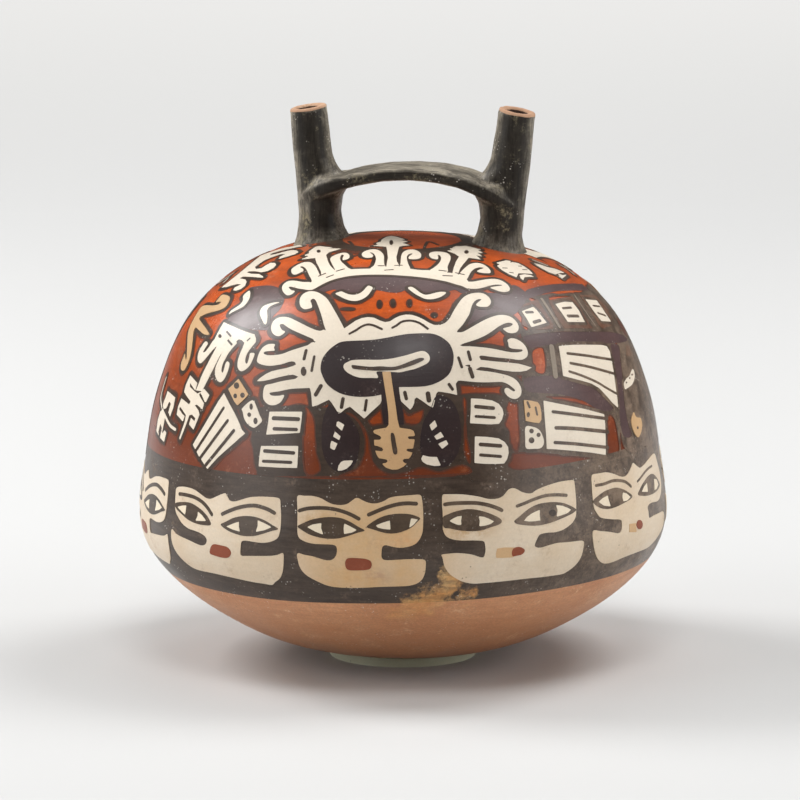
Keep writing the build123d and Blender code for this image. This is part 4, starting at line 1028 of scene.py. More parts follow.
def handle_body():
    """The spouts, the legs, their fillets and the strap as separate closed rolls."""
    bm = bmesh.new()
    depth = Vector((0, 1, 0))
    for foot, mouth, _ in SPOUTS:
        axis = (mouth - foot).normalized()
        side = -1 if foot.x < 0 else 1

        def spot(height, inward=0.0):
            return foot + axis * height * MM - Vector((side * inward, 0, 0)) * MM

        rings = []
        for height, radius in SPOUT_RADII:
            wide = (radius + 0.12 * math.sin(height * 0.7 + side)) * MM
            rings.append(oval_ring(foot + axis * height * MM, axis, depth, wide, wide))
        roll(bm, rings)
        # the leg of the bridge, down the inner side of the spout
        roll(bm, [oval_ring(spot(height, inward), axis, depth, wide * MM, thick * MM, 2.3)
                  for height, inward, wide, thick in LEG])
        # the clay smoothed up from the strap on to the spout
        lift = 0 if side < 0 else RIGHT_FILLET_LIFT
        roll(bm, [oval_ring(spot(height + lift, inward), axis, depth, radius * MM, radius * MM)
                  for height, inward, radius in FILLET])
    spots = [Vector((x, HANDLE_DEPTH, z)) * MM for x, z, _, _ in STRAP]
    strap = []
    for k, (_, _, wide, thick) in enumerate(STRAP):
        along = spots[min(k + 1, len(spots) - 1)] - spots[max(k - 1, 0)]
        strap.append(oval_ring(spots[k], along, depth, wide * MM, thick * MM, 8.0, 60))
    roll(bm, strap)
    bmesh.ops.recalc_face_normals(bm, faces=bm.faces)
    return bm


def worked_skin():
    """The rolls joined into one smoothed skin that is a little uneven, cut off inside the body."""
    mesh = bpy.data.meshes.new("handle rolls")
    bm = handle_body()
    bm.to_mesh(mesh)
    bm.free()
    rough = bpy.data.objects.new("handle rolls", mesh)
    bpy.context.scene.collection.objects.link(rough)
    join = rough.modifiers.new("Join", "REMESH")
    join.mode = "VOXEL"
    join.voxel_size = chosen("clay_grain")
    skin = bpy.data.meshes.new_from_object(rough.evaluated_get(bpy.context.evaluated_depsgraph_get()))
    bpy.data.objects.remove(rough)
    bm = bmesh.new()
    bm.from_mesh(skin)
    bpy.data.meshes.remove(skin)
    for _ in range(4):
        bmesh.ops.smooth_vert(bm, verts=bm.verts, factor=0.5, use_axis_x=True, use_axis_y=True, use_axis_z=True)
    for vert in bm.verts:
        push = 0.22 * noise.noise(vert.co / (9 * MM)) + 0.06 * noise.noise(vert.co / (3 * MM) + Vector((5, 1, 2)))
        vert.co += vert.normal * push * MM
    bmesh.ops.bisect_plane(bm, geom=bm.verts[:] + bm.edges[:] + bm.faces[:], plane_co=(0, 0, HANDLE_CUT),
                           plane_no=(0, 0, -1), clear_outer=True)
    bmesh.ops.holes_fill(bm, edges=[edge for edge in bm.edges if edge.is_boundary])
    return bm


def open_mouth(bm, foot, mouth, slant):
    """Cuts a spout's rim at its slant and builds the lip and the bore into the cut."""
    lip_height, bore = chosen("lip_height"), chosen("bore_radius")
    axis = (mouth - foot).normalized()
    lean = math.radians(slant)
    cut = Vector((-math.sin(lean), -RIM_SLICE, math.cos(lean))).normalized()
    near = [vert for vert in bm.verts if (vert.co - mouth).length < MOUTH_REACH]
    geom = set(near)
    geom.update(edge for vert in near for edge in vert.link_edges)
    geom.update(face for vert in near for face in vert.link_faces)
    bmesh.ops.bisect_plane(bm, geom=list(geom), plane_co=mouth - axis * lip_height, plane_no=cut, clear_outer=True)
    skin_edge = [edge for edge in bm.edges if edge.is_boundary]
    reach = sum(((vert.co - mouth).cross(axis)).length for edge in skin_edge for vert in edge.verts)
    reach /= 2 * len(skin_edge)
    across = axis.cross(Vector((0, 1, 0))).normalized()
    other = axis.cross(across)
    rings = []
    for inward, height in MOUTH:
        radius = bore if inward is None else reach - inward * MM
        uneven = 0.16 * MM if 0 <= height < 1.6 and inward != 0 else 0
        ring = []
        for k in range(RIM_POINTS):
            turn = k * math.tau / RIM_POINTS
            flat = across * math.cos(turn) + other * math.sin(turn)
            wave = uneven * noise.noise(flat * 2.3 + Vector((inward or 0, slant, 0)))
            place = flat * (radius + wave)
            tilt = -place.dot(cut) / axis.dot(cut) if height > -10 else 0
            ring.append(bm.verts.new(mouth + place + axis * (tilt + height * MM - lip_height + wave)))
        rings.append(ring)
    outer = [bm.edges.new((rings[0][k - 1], rings[0][k])) for k in range(RIM_POINTS)]
    bmesh.ops.bridge_loops(bm, edges=skin_edge + outer)
    for number, (one, two) in enumerate(zip(rings, rings[1:])):
        for k in range(RIM_POINTS):
            face = bm.faces.new((one[k - 1], one[k], two[k], two[k - 1]))
            # The bore's faces take the dark bore colour, a painted shade down the hole.
            face.material_index = 2 if number >= FIRST_SHADED_BORE_RING else min(number, 1)
    bm.faces.new(rings[-1]).material_index = 2


def make_handle():
    """The spouts and the bridge in one skin, with cut rims and open bores."""
    bm = worked_skin()
    for spout in SPOUTS:
        open_mouth(bm, *spout)
    bmesh.ops.recalc_face_normals(bm, faces=bm.faces)
    parts = [f"{side}_{part}" for side in ("left", "right") for part in ("spout", "spout_collar", "bridge_web")]
    keep("spouts_and_bridge", bm, ["Charcoal slip", "Bare clay", "Bore clay in painted shade"],
         replaces=("bridge_strap", *parts), sharp=SHARP_RIM)


# Node groups and materials

class Nodes:
    """Short hand for building a node tree."""

    def __init__(self, tree):
        self.tree = tree

    def add(self, kind, inputs=(), **settings):
        node = self.tree.nodes.new(kind)
        for key, value in settings.items():
            setattr(node, key, value)
        for key, value in dict(inputs).items():
            if isinstance(value, bpy.types.NodeSocket):
                self.tree.links.new(value, node.inputs[key])
            else:
                node.inputs[key].default_value = value
        return node

    def mix(self, factor, a, b, blend="MIX"):
        return self.add("ShaderNodeMix", {"Factor": factor, 6: a, 7: b}, data_type="RGBA", blend_type=blend).outputs[2]

    def place(self, output="Object"):
        return self.add("ShaderNodeTexCoord").outputs[output]

    def stretched(self, place, scale):
        return self.add("ShaderNodeMapping", {"Vector": place, "Scale": scale}).outputs[0]

    def part(self, vector, axis):
        return self.add("ShaderNodeSeparateXYZ", {0: vector}).outputs[axis]

    def distance(self, place, x, y, z):
        return self.add("ShaderNodeVectorMath", {0: place, 1: Vector((x, y, z)) * MM},
                        operation="DISTANCE").outputs["Value"]

    def math(self, operation, a, b=0.5):
        return self.add("ShaderNodeMath", {0: a, 1: b}, operation=operation).outputs[0]

    def ramp(self, value, low, high, start=0.0, end=1.0):
        return self.add("ShaderNodeMapRange", {"Value": value, "From Min": low, "From Max": high,
                                               "To Min": start, "To Max": end}).outputs[0]

    def noise(self, place, scale, detail=3.0, rough=0.5):
        return self.add("ShaderNodeTexNoise", {"Vector": place, "Scale": scale, "Detail": detail,
                                               "Roughness": rough}).outputs["Fac"]


def new_group(name, inputs, outputs):
    """An empty shader group with named sockets."""
    tree = bpy.data.node_groups.new(name, "ShaderNodeTree")
    for label, kind, default in inputs:
        socket = tree.interface.new_socket(label, in_out="INPUT", socket_type=kind)
        if default is not None:
            socket.default_value = default
    for label, kind in outputs:
        tree.interface.new_socket(label, in_out="OUTPUT", socket_type=kind)
    return Nodes(tree)


FLOAT, COLOUR = "NodeSocketFloat", "NodeSocketColor"


def aged_slip_group():
    """Uneven brushed slip: cloudy tone, burnishing streaks, worn spots, pale specks and fine dark pits."""
    n = new_group(
        "Aged slip",
        [("Colour", COLOUR, (0.5, 0.5, 0.5, 1)), ("Cloud colour", COLOUR, (0.4, 0.4, 0.4, 1)),
         ("Worn colour", COLOUR, (0.6, 0.4, 0.3, 1)), ("Cloud", FLOAT, 0.5), ("Streaks", FLOAT, 0.3),
         ("Worn", FLOAT, 0.2), ("Specks", FLOAT, 0.3), ("Gloss", FLOAT, 0.35)],
        [("Colour", COLOUR), ("Roughness", FLOAT), ("Height", FLOAT)],
    )
    take = n.add("NodeGroupInput").outputs
    place = n.place()
    flat = n.stretched(place, (1.0, 1.0, 7.0))
    clouds = n.ramp(n.noise(place, 38.0, 5.0, 0.6), 0.36, 0.66)
    colour = n.mix(n.math("MULTIPLY", clouds, take["Cloud"]), take["Colour"], take["Cloud colour"])
    streaks = n.ramp(n.noise(flat, 95.0, 4.0, 0.65), 0.35, 0.68)
    streaks = n.math("MULTIPLY", streaks, take["Streaks"])
    colour = n.mix(streaks, colour, take["Cloud colour"])
    patches = n.ramp(n.noise(place, 110.0, 6.0, 0.7), 0.55, 0.68)
    grains = n.ramp(n.noise(place, 900.0, 2.0, 0.6), 0.42, 0.60)
    worn = n.math("MULTIPLY", n.math("MULTIPLY", patches, grains), take["Worn"])
    colour = n.mix(worn, colour, take["Worn colour"])
    dots = n.add("ShaderNodeTexVoronoi", {"Vector": place, "Scale": 1000.0, "Randomness": 1.0})
    chosen = n.ramp(n.noise(place, 150.0, 5.0, 0.75), 0.56, 0.66)
    speck = n.math("MULTIPLY", n.ramp(dots.outputs["Distance"], 0.30, 0.16), chosen)
    speck = n.math("MULTIPLY", speck, take["Specks"])
    colour = n.mix(speck, colour, (0.72, 0.66, 0.58, 1))
    pits = n.add("ShaderNodeTexVoronoi", {"Vector": place, "Scale": 650.0, "Randomness": 1.0})
    few = n.ramp(n.noise(place, 170.0, 3.0), 0.62, 0.68)
    pit = n.math("MULTIPLY", n.ramp(pits.outputs["Distance"], 0.22, 0.08), few)
    colour = n.mix(n.math("MULTIPLY", pit, 0.6), colour, (0.035, 0.026, 0.022, 1))
    grain = n.ramp(n.noise(place, 1300.0, 3.0, 0.7), 0.3, 0.7, 0.82, 1.12)
    colour = n.mix(n.math("ADD", n.math("MULTIPLY", take["Specks"], 1.1), 0.25), colour, grain, "MULTIPLY")
    rough = n.math("ADD", take["Gloss"], n.math("MULTIPLY", clouds, 0.14))
    rough = n.math("ADD", rough, n.math("MULTIPLY", worn, 0.3))
    fine = n.noise(flat, 260.0, 4.0, 0.6)
    height = n.math("SUBTRACT", n.math("MULTIPLY", fine, 0.6), n.math("MULTIPLY", worn, 0.5))
    height = n.math("SUBTRACT", height, n.math("MULTIPLY", pit, 0.8))
    n.add("NodeGroupOutput", {"Colour": colour, "Roughness": rough, "Height": height})


def slip_material(name, colour, cloud, worn, clouds, streaks, wear, specks, gloss, tone):
    """A burnished slip finish. tone may shift the colour further over the body. Pale slips shine a little more."""
    material = bpy.data.materials.new(name)
    material.use_nodes = True
    n = Nodes(material.node_tree)
    shader = material.node_tree.nodes["Principled BSDF"]
    group = n.add("ShaderNodeGroup", node_tree=bpy.data.node_groups["Aged slip"])
    for label, value in (("Colour", colour), ("Cloud colour", cloud), ("Worn colour", worn),
                         ("Cloud", clouds), ("Streaks", streaks), ("Worn", wear), ("Specks", specks),
                         ("Gloss", gloss)):
        group.inputs[label].default_value = value
    if tone:
        tone(n, group)
    bumps = n.add("ShaderNodeBump", {"Height": group.outputs["Height"], "Strength": 0.25, "Distance": 0.25 * MM})
    n.tree.links.new(group.outputs["Colour"], shader.inputs["Base Color"])
    n.tree.links.new(group.outputs["Roughness"], shader.inputs["Roughness"])
    n.tree.links.new(bumps.outputs[0], shader.inputs["Normal"])
    shader.inputs["Specular IOR Level"].default_value = 0.5 if colour[0] > 0.45 else 0.38


def srgb(r, g, b):
    """A colour as the eye sees it, 0 to 255, as the shader wants it."""
    return tuple(((c / 255 + 0.055) / 1.055) ** 2.4 if c > 10 else c / 255 / 12.92 for c in (r, g, b)) + (1,)


def band_of(n, axis, low, high, start, end):
    """A value that runs along one axis of the bottle."""
    return n.ramp(n.part(n.place(), axis), low * MM, high * MM, start, end)


def recolour(n, group, colour):
    n.tree.links.new(colour, group.inputs["Colour"])


def dust_and_sheen_on_handle(n, group):
    """Dust on the handle, in streaks that run along the clay. It gathers most where the clay looks up, and there it
    also stands for a painted top light; where the clay turns away from the view the grey is a painted sheen.
    """
    place = n.place()
    ends = n.ramp(n.math("ABSOLUTE", n.part(place, 0)), 21 * MM, 27 * MM)
    along_strap = n.noise(n.stretched(place, (0.10, 1.0, 1.0)), 1100.0, 4.0, 0.7)
    along_spouts = n.noise(n.stretched(place, (1.0, 1.0, 0.10)), 1100.0, 4.0, 0.7)
    streaks = n.ramp(n.mix(ends, along_strap, along_spouts), 0.38, 0.60, 0.30, 1.0)
    patches = n.ramp(n.noise(place, 110.0, 6.0, 0.7), 0.38, 0.56, 0.45, 1.0)
    # Where the clay looks up, the grey is partly settled and partly a painted top light.
    upward = n.ramp(n.part(n.place("Normal"), 2), 0.10, 0.80, 0.0, 1.0)
    # Where the clay turns away from the view, the grey is a painted sheen along the edges.
    away = n.ramp(n.add("ShaderNodeLayerWeight", {"Blend": 0.5}).outputs["Facing"], 0.18, 0.62, 0.08, 0.9)
    foot = band_of(n, 2, 142, 133, 0.0, 0.8)
    dust_and_painted_sheen = n.math("MAXIMUM", n.math("MAXIMUM", upward, away), foot)
    dust_and_painted_sheen = n.math("MULTIPLY", n.math("MULTIPLY", dust_and_painted_sheen, streaks), patches)
    recolour(n, group, n.mix(dust_and_painted_sheen, srgb(22, 16, 11), srgb(182, 172, 154)))


def pale_right_wear_and_light(n, group, start=32, end=76):
    """Dark slip that turns a patchy pale brown towards the photograph's right: partly wear, partly painted light
    falling from that side.
    """
    patches = n.ramp(n.noise(n.place(), 130.0, 7.0, 0.8), 0.42, 0.56, 0.15, 1.0)
    # Painted light and wear together: pale brown patches over the right side of the bottle.
    side = n.math("MULTIPLY", band_of(n, 0, start, end, 0.0, 0.70), patches)
    own = group.inputs["Colour"]
    plain = own.links[0].from_socket if own.is_linked else own.default_value[:]
    recolour(n, group, n.mix(side, plain, srgb(156, 134, 114)))


def head_lines_pale_right(n, group):
    """The lines on the heads turn paler from the middle on to the right: partly wear, partly painted light from that
    side.
    """
    pale_right_wear_and_light(n, group, 8, 58)


def darker_towards_waist(n, group):
    """The red is cloudier and darker towards the waist."""
    recolour(n, group, n.mix(band_of(n, 2, 78, 114, 1.0, 0.0), srgb(202, 88, 30), srgb(112, 48, 14)))


def scorched(n, group):
    """One head was fired warmer than the others, and stains run over two of them."""
    place = n.place()
    near = n.ramp(n.distance(place, 5, -84, 47), 14 * MM, 34 * MM, 1.0, 0.0)
    patchy = n.math("MULTIPLY", near, n.ramp(n.noise(place, 40.0, 4.0, 0.6), 0.30, 0.60, 0.45, 1.0))
    colour = n.mix(patchy, srgb(214, 198, 176), srgb(198, 148, 84))
    blots = n.ramp(n.noise(place, 260.0, 6.0, 0.75), 0.40, 0.54)
    flatter = 1.8
    flat = n.stretched(place, (1.0, 1.0, flatter))
    for x, y, z, reach, stain in ((14, -84, 53, 9, (204, 146, 88)), (34.7, -78, 59, 12, (180, 140, 92)),
                                  (7.7, -84, 43, 6, (150, 84, 40)), (-12, -84, 60, 8, (184, 146, 100))):
        spot = n.distance(flat, x, y, z * flatter)
        cover = n.math("MULTIPLY", n.ramp(spot, reach * MM, reach * 0.3 * MM, 0.0, 0.85), blots)
        colour = n.mix(cover, colour, srgb(*stain))
    recolour(n, group, colour)


def flaked_patches_and_low_shade(n, group):
    """Patches low on the front where the slip has flaked to yellow clay; on the bare terracotta, also painted shade
    that darkens it towards the bottom.
    """
    place = n.place()
    uneven = n.ramp(n.noise(place, 230.0, 5.0, 0.7), 0.2, 0.8, -4 * MM, 4 * MM)
    patch = 0.0
    for x, y, z, reach in ((29, -79, 40.3, 3.6), (26, -78.6, 37.5, 4), (33, -75, 35.3, 2.6), (22.5, -78, 35, 4.6),
                           (17, -76.6, 31, 6.5), (12, -75.4, 29, 4.5)):
        away = n.math("ADD", n.distance(place, x, y, z), uneven)
        patch = n.math("MAXIMUM", patch, n.ramp(away, (reach + 1) * MM, (reach - 1.5) * MM))
    plain = group.inputs["Colour"].default_value[:]
    flaked = n.mix(n.ramp(n.noise(place, 120.0, 4.0, 0.6), 0.35, 0.65), srgb(244, 200, 134), srgb(222, 156, 86))
    bare = plain[0] > 0.1
    # Painted shade: the bare terracotta darkens towards the bottom, where the bowl turns under and the floor shades
    # it.
    under = n.mix(band_of(n, 2, 30, 9, 0.0, 0.5), plain, srgb(104, 70, 46)) if bare else plain
    recolour(n, group, n.mix(n.math("MULTIPLY", patch, 0.92), under, flaked))
    if not bare:
        pale_right_wear_and_light(n, group)


def make_materials():
    """All the finishes: colour, cloud and worn colour, then clouds, streaks, wear, specks, gloss and tone."""
    aged_slip_group()
    for name, colour, cloud, worn, clouds, streaks, wear, specks, gloss, tone in (
        ("Red slip", (172, 80, 42), (98, 44, 22), (196, 128, 92), 0.62, 0.4, 0.35, 0.5, 0.27, darker_towards_waist),
        ("Brown-black slip", (50, 38, 30), (82, 68, 57), (120, 100, 84), 0.35, 0.7, 0.6, 0.8, 0.29, flaked_patches_and_low_shade),
        ("Terracotta", (206, 148, 104), (180, 120, 80), (226, 188, 152), 0.7, 0.7, 0.7, 0.7, 0.36, flaked_patches_and_low_shade),
        ("Cream slip", (224, 212, 194), (204, 190, 170), (180, 160, 138), 0.5, 0.15, 0.3, 0.0, 0.36, None),
        ("Head slip", (214, 198, 178), (200, 174, 140), (168, 138, 108), 0.7, 0.25, 0.45, 0.1, 0.30, scorched),
        ("Eye slip", (226, 212, 188), (214, 196, 168), (176, 150, 122), 0.4, 0.1, 0.1, 0.0, 0.36, None),
        ("Feature slip", (56, 44, 34), (86, 70, 55), (140, 114, 88), 0.5, 0.5, 0.6, 0.3, 0.31, head_lines_pale_right),
        ("Pupil slip", (40, 30, 24), (56, 44, 36), (120, 94, 72), 0.4, 0.3, 0.2, 0.0, 0.34, None),
        ("Mouth slip", (136, 64, 34), (112, 50, 28), (160, 104, 76), 0.5, 0.2, 0.3, 0.0, 0.32, None),
        ("Buff slip", (200, 164, 120), (180, 140, 98), (140, 106, 76), 0.5, 0.2, 0.2, 0.0, 0.36, None),
        ("Brown wash", (96, 50, 32), (74, 44, 32), (130, 80, 56), 0.6, 0.3, 0.4, 0.3, 0.30, None),
        ("Brown slip", (104, 62, 42), (80, 50, 36), (130, 96, 74), 0.7, 0.3, 0.4, 0.4, 0.30, pale_right_wear_and_light),
        ("Grey slip", (136, 124, 108), (118, 102, 90), (100, 82, 70), 0.5, 0.2, 0.2, 0.2, 0.36, None),
        ("Purple-grey slip", (92, 69, 67), (66, 49, 49), (126, 104, 98), 0.7, 0.4, 0.4, 0.5, 0.28, None),
        ("Dark purple slip", (52, 38, 37), (34, 24, 25), (90, 72, 66), 0.6, 0.3, 0.3, 0.5, 0.29, None),
        ("Outline slip", (50, 38, 30), (76, 60, 48), (116, 94, 76), 0.4, 0.5, 0.4, 0.6, 0.30, pale_right_wear_and_light),
        ("Bare clay", (186, 148, 118), (140, 100, 74), (216, 186, 158), 0.8, 0.1, 0.6, 0.2, 0.8, None),
        # The bore colour is painted shade: the clay down the hole is darkened to stand for its shade.
        ("Bore clay in painted shade", (62, 40, 28), (44, 28, 20), (92, 66, 48), 0.7, 0.1, 0.4, 0.0, 0.8, None),
        ("Charcoal slip", (22, 16, 11), (19, 14, 10), (150, 140, 112), 0.3, 0.2, 0.8, 0.9, 0.40, dust_and_sheen_on_handle),
        ("Ring", (184, 184, 158), (172, 172, 146), (150, 150, 132), 0.3, 0.0, 0.1, 0.0, 0.6, None),
    ):
        slip_material(name, srgb(*colour), srgb(*cloud), srgb(*worn), clouds, streaks, wear, specks, gloss, tone)
    handle = bpy.data.materials["Charcoal slip"].node_tree.nodes["Principled BSDF"]
    handle.inputs["Specular IOR Level"].default_value = 0.20


class BottleSizes(bpy.types.PropertyGroup):
    outline_width: FloatProperty(
        name="Outline width", description="Dark slip left showing round each pale figure",
        default=1.15 * MM, min=0.2 * MM, max=3 * MM, precision=5, unit="LENGTH", subtype="DISTANCE")
    wash_width: FloatProperty(
        name="Wash width", description="Thin brown wash that shows beyond the dark slip",
        default=0.55 * MM, min=0.1 * MM, max=2 * MM, precision=5, unit="LENGTH", subtype="DISTANCE")
    clay_grain: FloatProperty(
        name="Clay grain", description="Finest detail of the skin of the spouts and the bridge",
        default=0.56 * MM, min=0.4 * MM, max=2 * MM, precision=5, unit="LENGTH", subtype="DISTANCE")
    bore_radius: FloatProperty(
        name="Bore radius", description="Radius of the open bore in each spout",
        default=3.4 * MM, min=2 * MM, max=4.5 * MM, precision=5, unit="LENGTH", subtype="DISTANCE")
    lip_height: FloatProperty(
        name="Lip height", description="How far the rounded lip stands above the cut rim",
        default=1.5 * MM, min=0.5 * MM, max=3 * MM, precision=5, unit="LENGTH", subtype="DISTANCE")
    lamp_power: FloatProperty(
        name="Lamp power", description="Strength of the soft lamps", default=1.0, min=0.0, max=10.0,
        subtype="FACTOR")


class BOTTLE_OT_materials(bpy.types.Operator):
    """Make the finishes"""
    bl_idname = "bottle.materials"
    bl_label = "Finishes"

    def execute(self, context):
        make_materials()
        for name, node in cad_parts.items():
            node.data.materials.clear()
            finish = "Ring" if name == "support_ring" else "Bare clay"
            node.data.materials.append(bpy.data.materials[finish])
        return {"FINISHED"}


class BOTTLE_OT_coats(bpy.types.Operator):
    """Lay the three coats of slip on the body"""
    bl_idname = "bottle.coats"
    bl_label = "Slip coats"

    def execute(self, context):
        for name, low, high, finish, slot, node in (
            ("bare_bowl_coat", BOTTOM, BAND_LOW, "Terracotta", "burnished_terracotta", "base_slip"),
            ("dark_band_coat", BAND_LOW, BAND_HIGH, "Brown-black slip", "brown_black_slip", "band_slip"),
            ("red_shoulder_coat", BAND_HIGH, TOP, "Red slip", "red_slip", "shoulder_slip"),
        ):
            keep(name, coat_shell(low, high), [finish], replaces=(node,))
        return {"FINISHED"}


def dark_ground(purple):
    """The field of the dark ground round the figures, which runs on to the back."""
    ground = layer_field(GROUND, ("dark",))
    windows = layer_field([("round", "open", *window[1:]) for window in WINDOWS], ("open",))
    # past the photograph's right edge the dark ground runs on round the side, onto the sheet's other end
    edge = int((on_photograph([RIGHT_EDGE])[0][0] * WIDEST - WALL.us[0]) / CELL)
    column = ground[:, edge:edge + 1].copy()
    dark_rows = np.nonzero(column[:, 0] < 0)[0]
    column[dark_rows[0]:dark_rows[-1]] = np.minimum(column[dark_rows[0]:dark_rows[-1]], -0.5 * MM)
    ground[:, edge:] = np.minimum(ground[:, edge:], column)
    back_end = BACK_END + 0.8 * MM * np.sin(WALL.vs / (5 * MM))
    ground = np.minimum(ground, np.maximum(column, WALL.us[None, :] - back_end[:, None]))
    ground = np.maximum(brushed(ground, 0.5 * MM), -brushed(windows, 0.5 * MM))
    return np.maximum(ground, -brushed(purple, 0.3 * MM))


def paint_plume():
    """The plume across the crown, a hair above the figures that it overlaps."""
    plume = layer_field(PLUME, ("cream",), sheet=CROWN)
    edge = brushed(plume - PLUME_OUTLINE, OUTLINE_WAVER, CROWN)
    edge = np.minimum(edge, layer_field(PLUME, ("dark",), sheet=CROWN))
    marks = layer_field(PLUME, ("detail",), sheet=CROWN)
    for name, field, lift, finish, slot in (
        ("dark_edge_of_plume", edge, OUTLINE, "Outline slip", "brown_black_slip"),
        ("crown_plume", plume, FILL, "Cream slip", "cream_slip"),
        ("eye_of_plume", marks, DETAIL, "Outline slip", "brown_black_slip"),
    ):
        plate(name, field, lift + PLUME_LIFT, finish, sheet=CROWN)


class BOTTLE_OT_figures(bpy.types.Operator):
    """Paint the figures on the shoulder"""
    bl_idname = "bottle.figures"
    bl_label = "Painted figures"

    def execute(self, context):
        shapes = DIADEM + EYES + MASK + STAFF + TABLETS + LEFT_SIDE + RIGHT_SIDE
        purple = layer_field(shapes, ("purple",))
        pale = layer_field(shapes, ("cream", "tan"))
        outlines = brushed(pale - chosen("outline_width") * WALL.scale(WALL.vs)[:, None], OUTLINE_WAVER)
        dark = np.minimum(np.minimum(dark_ground(purple), outlines), layer_field(shapes, ("dark",)))
        wash = np.maximum(brushed(dark - chosen("wash_width"), 0.4 * MM), -purple)
        wash = np.maximum(wash, np.interp(BAND_HIGH, HEIGHTS, ROWS) - WALL.vs[:, None])
        panels = np.maximum(brushed(layer_field(shapes, ("brown",)), 0.4 * MM), -outlines)
        for name, field, lift, finish, slot in (
            ("purple_slip_areas", purple, WASH, "Purple-grey slip", "purple_grey_slip"),
            ("brown_wash_round_dark", wash, (WASH + OUTLINE) / 2, "Brown wash", "brown_black_slip"),
            ("dark_slip_ground", dark, OUTLINE, "Outline slip", "brown_black_slip"),
            ("brown_panels", panels, (OUTLINE + FILL) / 2, "Brown slip", "red_slip"),
        ):
            plate(name, field, lift, finish)
        for name, layer, lift, finish, slot in (
            ("dark_lobes", "lobe", FILL, "Dark purple slip", "purple_grey_slip"),
            ("cream_figures", "cream", FILL, "Cream slip", "cream_slip"),
            ("grey_bars", "bar", FILL, "Grey slip", "buff_slip"),
            ("mouth_of_the_mask", "oval", DETAIL, "Dark purple slip", "purple_grey_slip"),
            ("dark_details", "detail", DETAIL, "Outline slip", "brown_black_slip"),
            ("white_details", "white", DETAIL + WASH, "Cream slip", "cream_slip"),
            ("buff_figures", "tan", DETAIL + WASH * 2, "Buff slip", "buff_slip"),
            ("dark_slits", "slit", DETAIL + WASH * 3, "Outline slip", "brown_black_slip"),
        ):
            plate(name, layer_field(shapes, (layer,)), lift, finish)
        paint_plume()
        spots = layer_field([shape for shape in LEFT_SIDE + RIGHT_SIDE if shape[0] != "round"], ("detail",))
        over_buff = np.maximum(spots, layer_field(shapes, ("tan",)))
        plate("dots_on_buff", over_buff, DETAIL + WASH * 3, "Outline slip")
        return {"FINISHED"}


class BOTTLE_OT_heads(bpy.types.Operator):
    """Paint the heads round the waist"""
    bl_idname = "bottle.heads"
    bl_label = "Heads"

    def execute(self, context):
        turns = ((HEAD_LEFT, -HEAD_SPACING), (HEAD_LEFT, 0.0), (HEAD_MIDDLE, 0.0), (HEAD_RIGHT, 0.0), (HEAD_EDGE, 0.0))
        for name, layer, lift, finish, slot, replaces in (
            ("heads", "panel", FILL, "Head slip", "cream_slip", ("head_panels",)),
            ("head_eyes_and_brows", "feature", DETAIL, "Feature slip", "brown_black_slip", ()),
            ("head_eye_whites", "eye", DETAIL + WASH, "Eye slip", "cream_slip", ()),
            ("head_pupil", "pupil", DETAIL + WASH, "Pupil slip", "brown_black_slip", ()),
            ("head_mouths", "mouth", DETAIL + WASH, "Mouth slip", "red_slip", ()),
            ("head_teeth", "tan_mouth", DETAIL, "Buff slip", "buff_slip", ()),
        ):
            field = np.minimum.reduce([layer_field(head, (layer,), turn) for head, turn in turns])
            plate(name, field, lift, finish, replaces)
        return {"FINISHED"}


class BOTTLE_OT_handle(bpy.types.Operator):
    """Build the spouts and the bridge"""
    bl_idname = "bottle.handle"
    bl_label = "Spouts and bridge"

    def execute(self, context):
        make_handle()
        return {"FINISHED"}


FLOOR_SIZE, FADE_FROM, FADE_TO = 6.0, 1.0, 2.4  # the floor fades into the pale surround between the last two
SURROUND_LIGHT = 0.10  # of the surround on the bottle; the camera sees it at full strength
FLOOR_LAMP_SPREAD = math.radians(85)
# to the right, up and behind the axis as the camera sees it, in metres, then size and power
LAMPS = (
    ("left lamp", -0.95, 1.00, -0.40, 0.6, 15.0),
    ("right lamp", 0.70, 1.15, -0.30, 0.6, 10.5),
    ("left fill", -1.60, 0.70, 0.60, 1.2, 16.0),
    ("right fill", 1.60, 0.65, 0.60, 1.2, 14.0),
    ("front lamp", 0.10, 2.40, 1.30, 0.9, 18.0),
    ("far floor lamp", 0.0, 2.6, -2.2, 1.5, 20.0),
    ("near floor lamp", 0.0, 2.6, 2.4, 1.5, 18.0),
    ("left floor lamp", -2.6, 2.6, 0.0, 1.5, 14.0),
    ("right floor lamp", 2.6, 2.6, 0.0, 1.5, 14.0),
)


def lay_floor(scene):
    bm = bmesh.new()
    bmesh.ops.create_grid(bm, x_segments=1, y_segments=1, size=FLOOR_SIZE)
    mesh = bpy.data.meshes.new("floor")
    bm.to_mesh(mesh)
    bm.free()
    floor = bpy.data.objects.new("floor", mesh)
    scene.collection.objects.link(floor)
    pale = bpy.data.materials.new("Pale floor")
    pale.use_nodes = True
    n = Nodes(pale.node_tree)
    shader = n.tree.nodes["Principled BSDF"]
    shader.inputs["Base Color"].default_value = (0.56, 0.56, 0.555, 1)
    shader.inputs["Roughness"].default_value = 0.7
    away = n.add("ShaderNodeVectorMath", {0: n.place()}, operation="LENGTH").outputs["Value"]
    clear = n.add("ShaderNodeBsdfTransparent").outputs[0]
    fade = n.add("ShaderNodeMixShader", {0: n.ramp(away, FADE_FROM, FADE_TO), 1: shader.outputs[0], 2: clear})
    n.tree.links.new(fade.outputs[0], n.tree.nodes["Material Output"].inputs["Surface"])
    mesh.materials.append(pale)


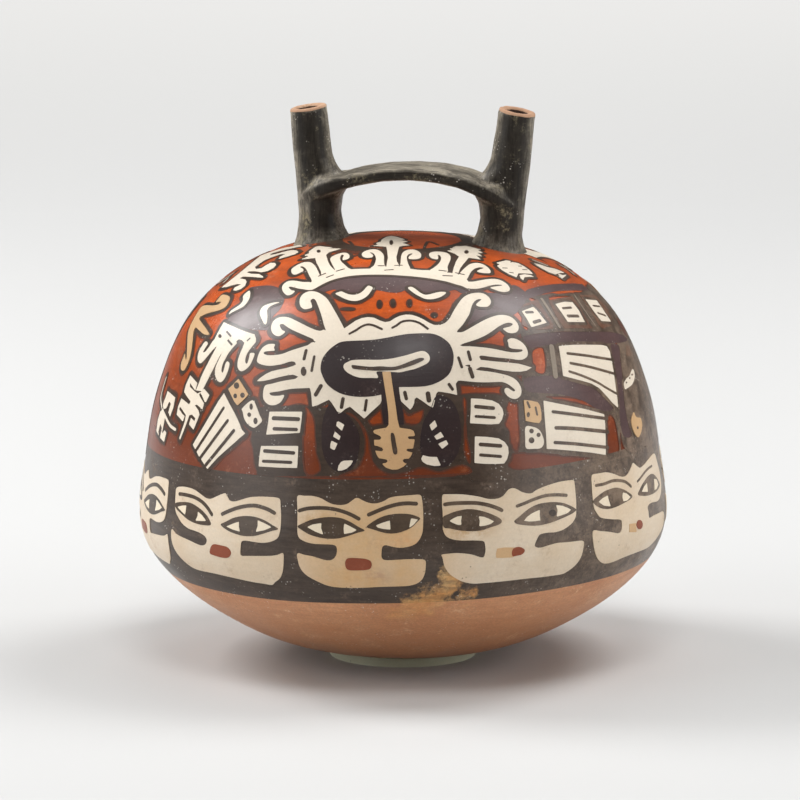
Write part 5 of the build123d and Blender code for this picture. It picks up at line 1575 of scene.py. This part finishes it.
def hang_lamps(scene, right, forward):
    ahead = Vector((forward.x, forward.y, 0)).normalized()
    for name, side, height, behind, size, power in LAMPS:
        data = bpy.data.lights.new(name, "AREA")
        data.size = size
        data.energy = power * scene.bottle_sizes.lamp_power
        lamp = bpy.data.objects.new(name, data)
        lamp.location = right * side - ahead * behind + Vector((0, 0, height))
        aim = Vector((0, 0, TARGET_HEIGHT)) - lamp.location
        if "floor" in name:
            data.spread = FLOOR_LAMP_SPREAD
            aim = Vector((0, 0, -1))
        lamp.rotation_euler = aim.to_track_quat("-Z", "Y").to_euler()
        scene.collection.objects.link(lamp)


def set_surround(scene):
    scene.world = bpy.data.worlds.new("Studio")
    scene.world.use_nodes = True
    n = Nodes(scene.world.node_tree)
    surround = n.tree.nodes["Background"]
    surround.inputs[0].default_value = (0.90, 0.89, 0.87, 1)
    seen = n.add("ShaderNodeLightPath").outputs["Is Camera Ray"]
    n.tree.links.new(n.ramp(seen, 0.0, 1.0, SURROUND_LIGHT, 1.0), surround.inputs[1])


def place_camera(scene, place, forward):
    data = bpy.data.cameras.new("camera")
    data.sensor_width = SENSOR
    data.lens = SENSOR * PIXELS_PER_METRE * CAMERA_DISTANCE / PICTURE
    data.clip_end = 50
    camera = bpy.data.objects.new("camera", data)
    camera.location = place
    camera.rotation_euler = forward.to_track_quat("-Z", "Y").to_euler()
    scene.collection.objects.link(camera)
    scene.camera = camera


class BOTTLE_OT_stage(bpy.types.Operator):
    """Set the floor, the lamps, the surround and the camera"""
    bl_idname = "bottle.stage"
    bl_label = "Stage"

    def execute(self, context):
        place, right, _, forward = camera_frame()
        lay_floor(context.scene)
        hang_lamps(context.scene, right, forward)
        set_surround(context.scene)
        place_camera(context.scene, place, forward)
        context.scene.view_settings.view_transform = "Standard"
        return {"FINISHED"}


OPERATORS = (BOTTLE_OT_materials, BOTTLE_OT_coats, BOTTLE_OT_figures, BOTTLE_OT_heads, BOTTLE_OT_handle,
             BOTTLE_OT_stage)


class BOTTLE_PT_panel(bpy.types.Panel):
    """Steps that make the bottle"""
    bl_label = "Bottle"
    bl_idname = "BOTTLE_PT_panel"
    bl_space_type = "VIEW_3D"
    bl_region_type = "UI"
    bl_category = "Bottle"

    def draw(self, context):
        for size in ("outline_width", "wash_width", "clay_grain", "bore_radius", "lip_height", "lamp_power"):
            self.layout.prop(context.scene.bottle_sizes, size)
        for step in OPERATORS:
            self.layout.operator(step.bl_idname)


def register():
    for one in (BottleSizes, *OPERATORS, BOTTLE_PT_panel):
        bpy.utils.register_class(one)
    bpy.types.Scene.bottle_sizes = PointerProperty(type=BottleSizes)


def unregister():
    del bpy.types.Scene.bottle_sizes
    for one in reversed((BottleSizes, *OPERATORS, BOTTLE_PT_panel)):
        bpy.utils.unregister_class(one)


def main():
    register()
    for step in OPERATORS:
        group, name = step.bl_idname.split(".")
        getattr(getattr(bpy.ops, group), name)()


if __name__ == "__main__":
    main()
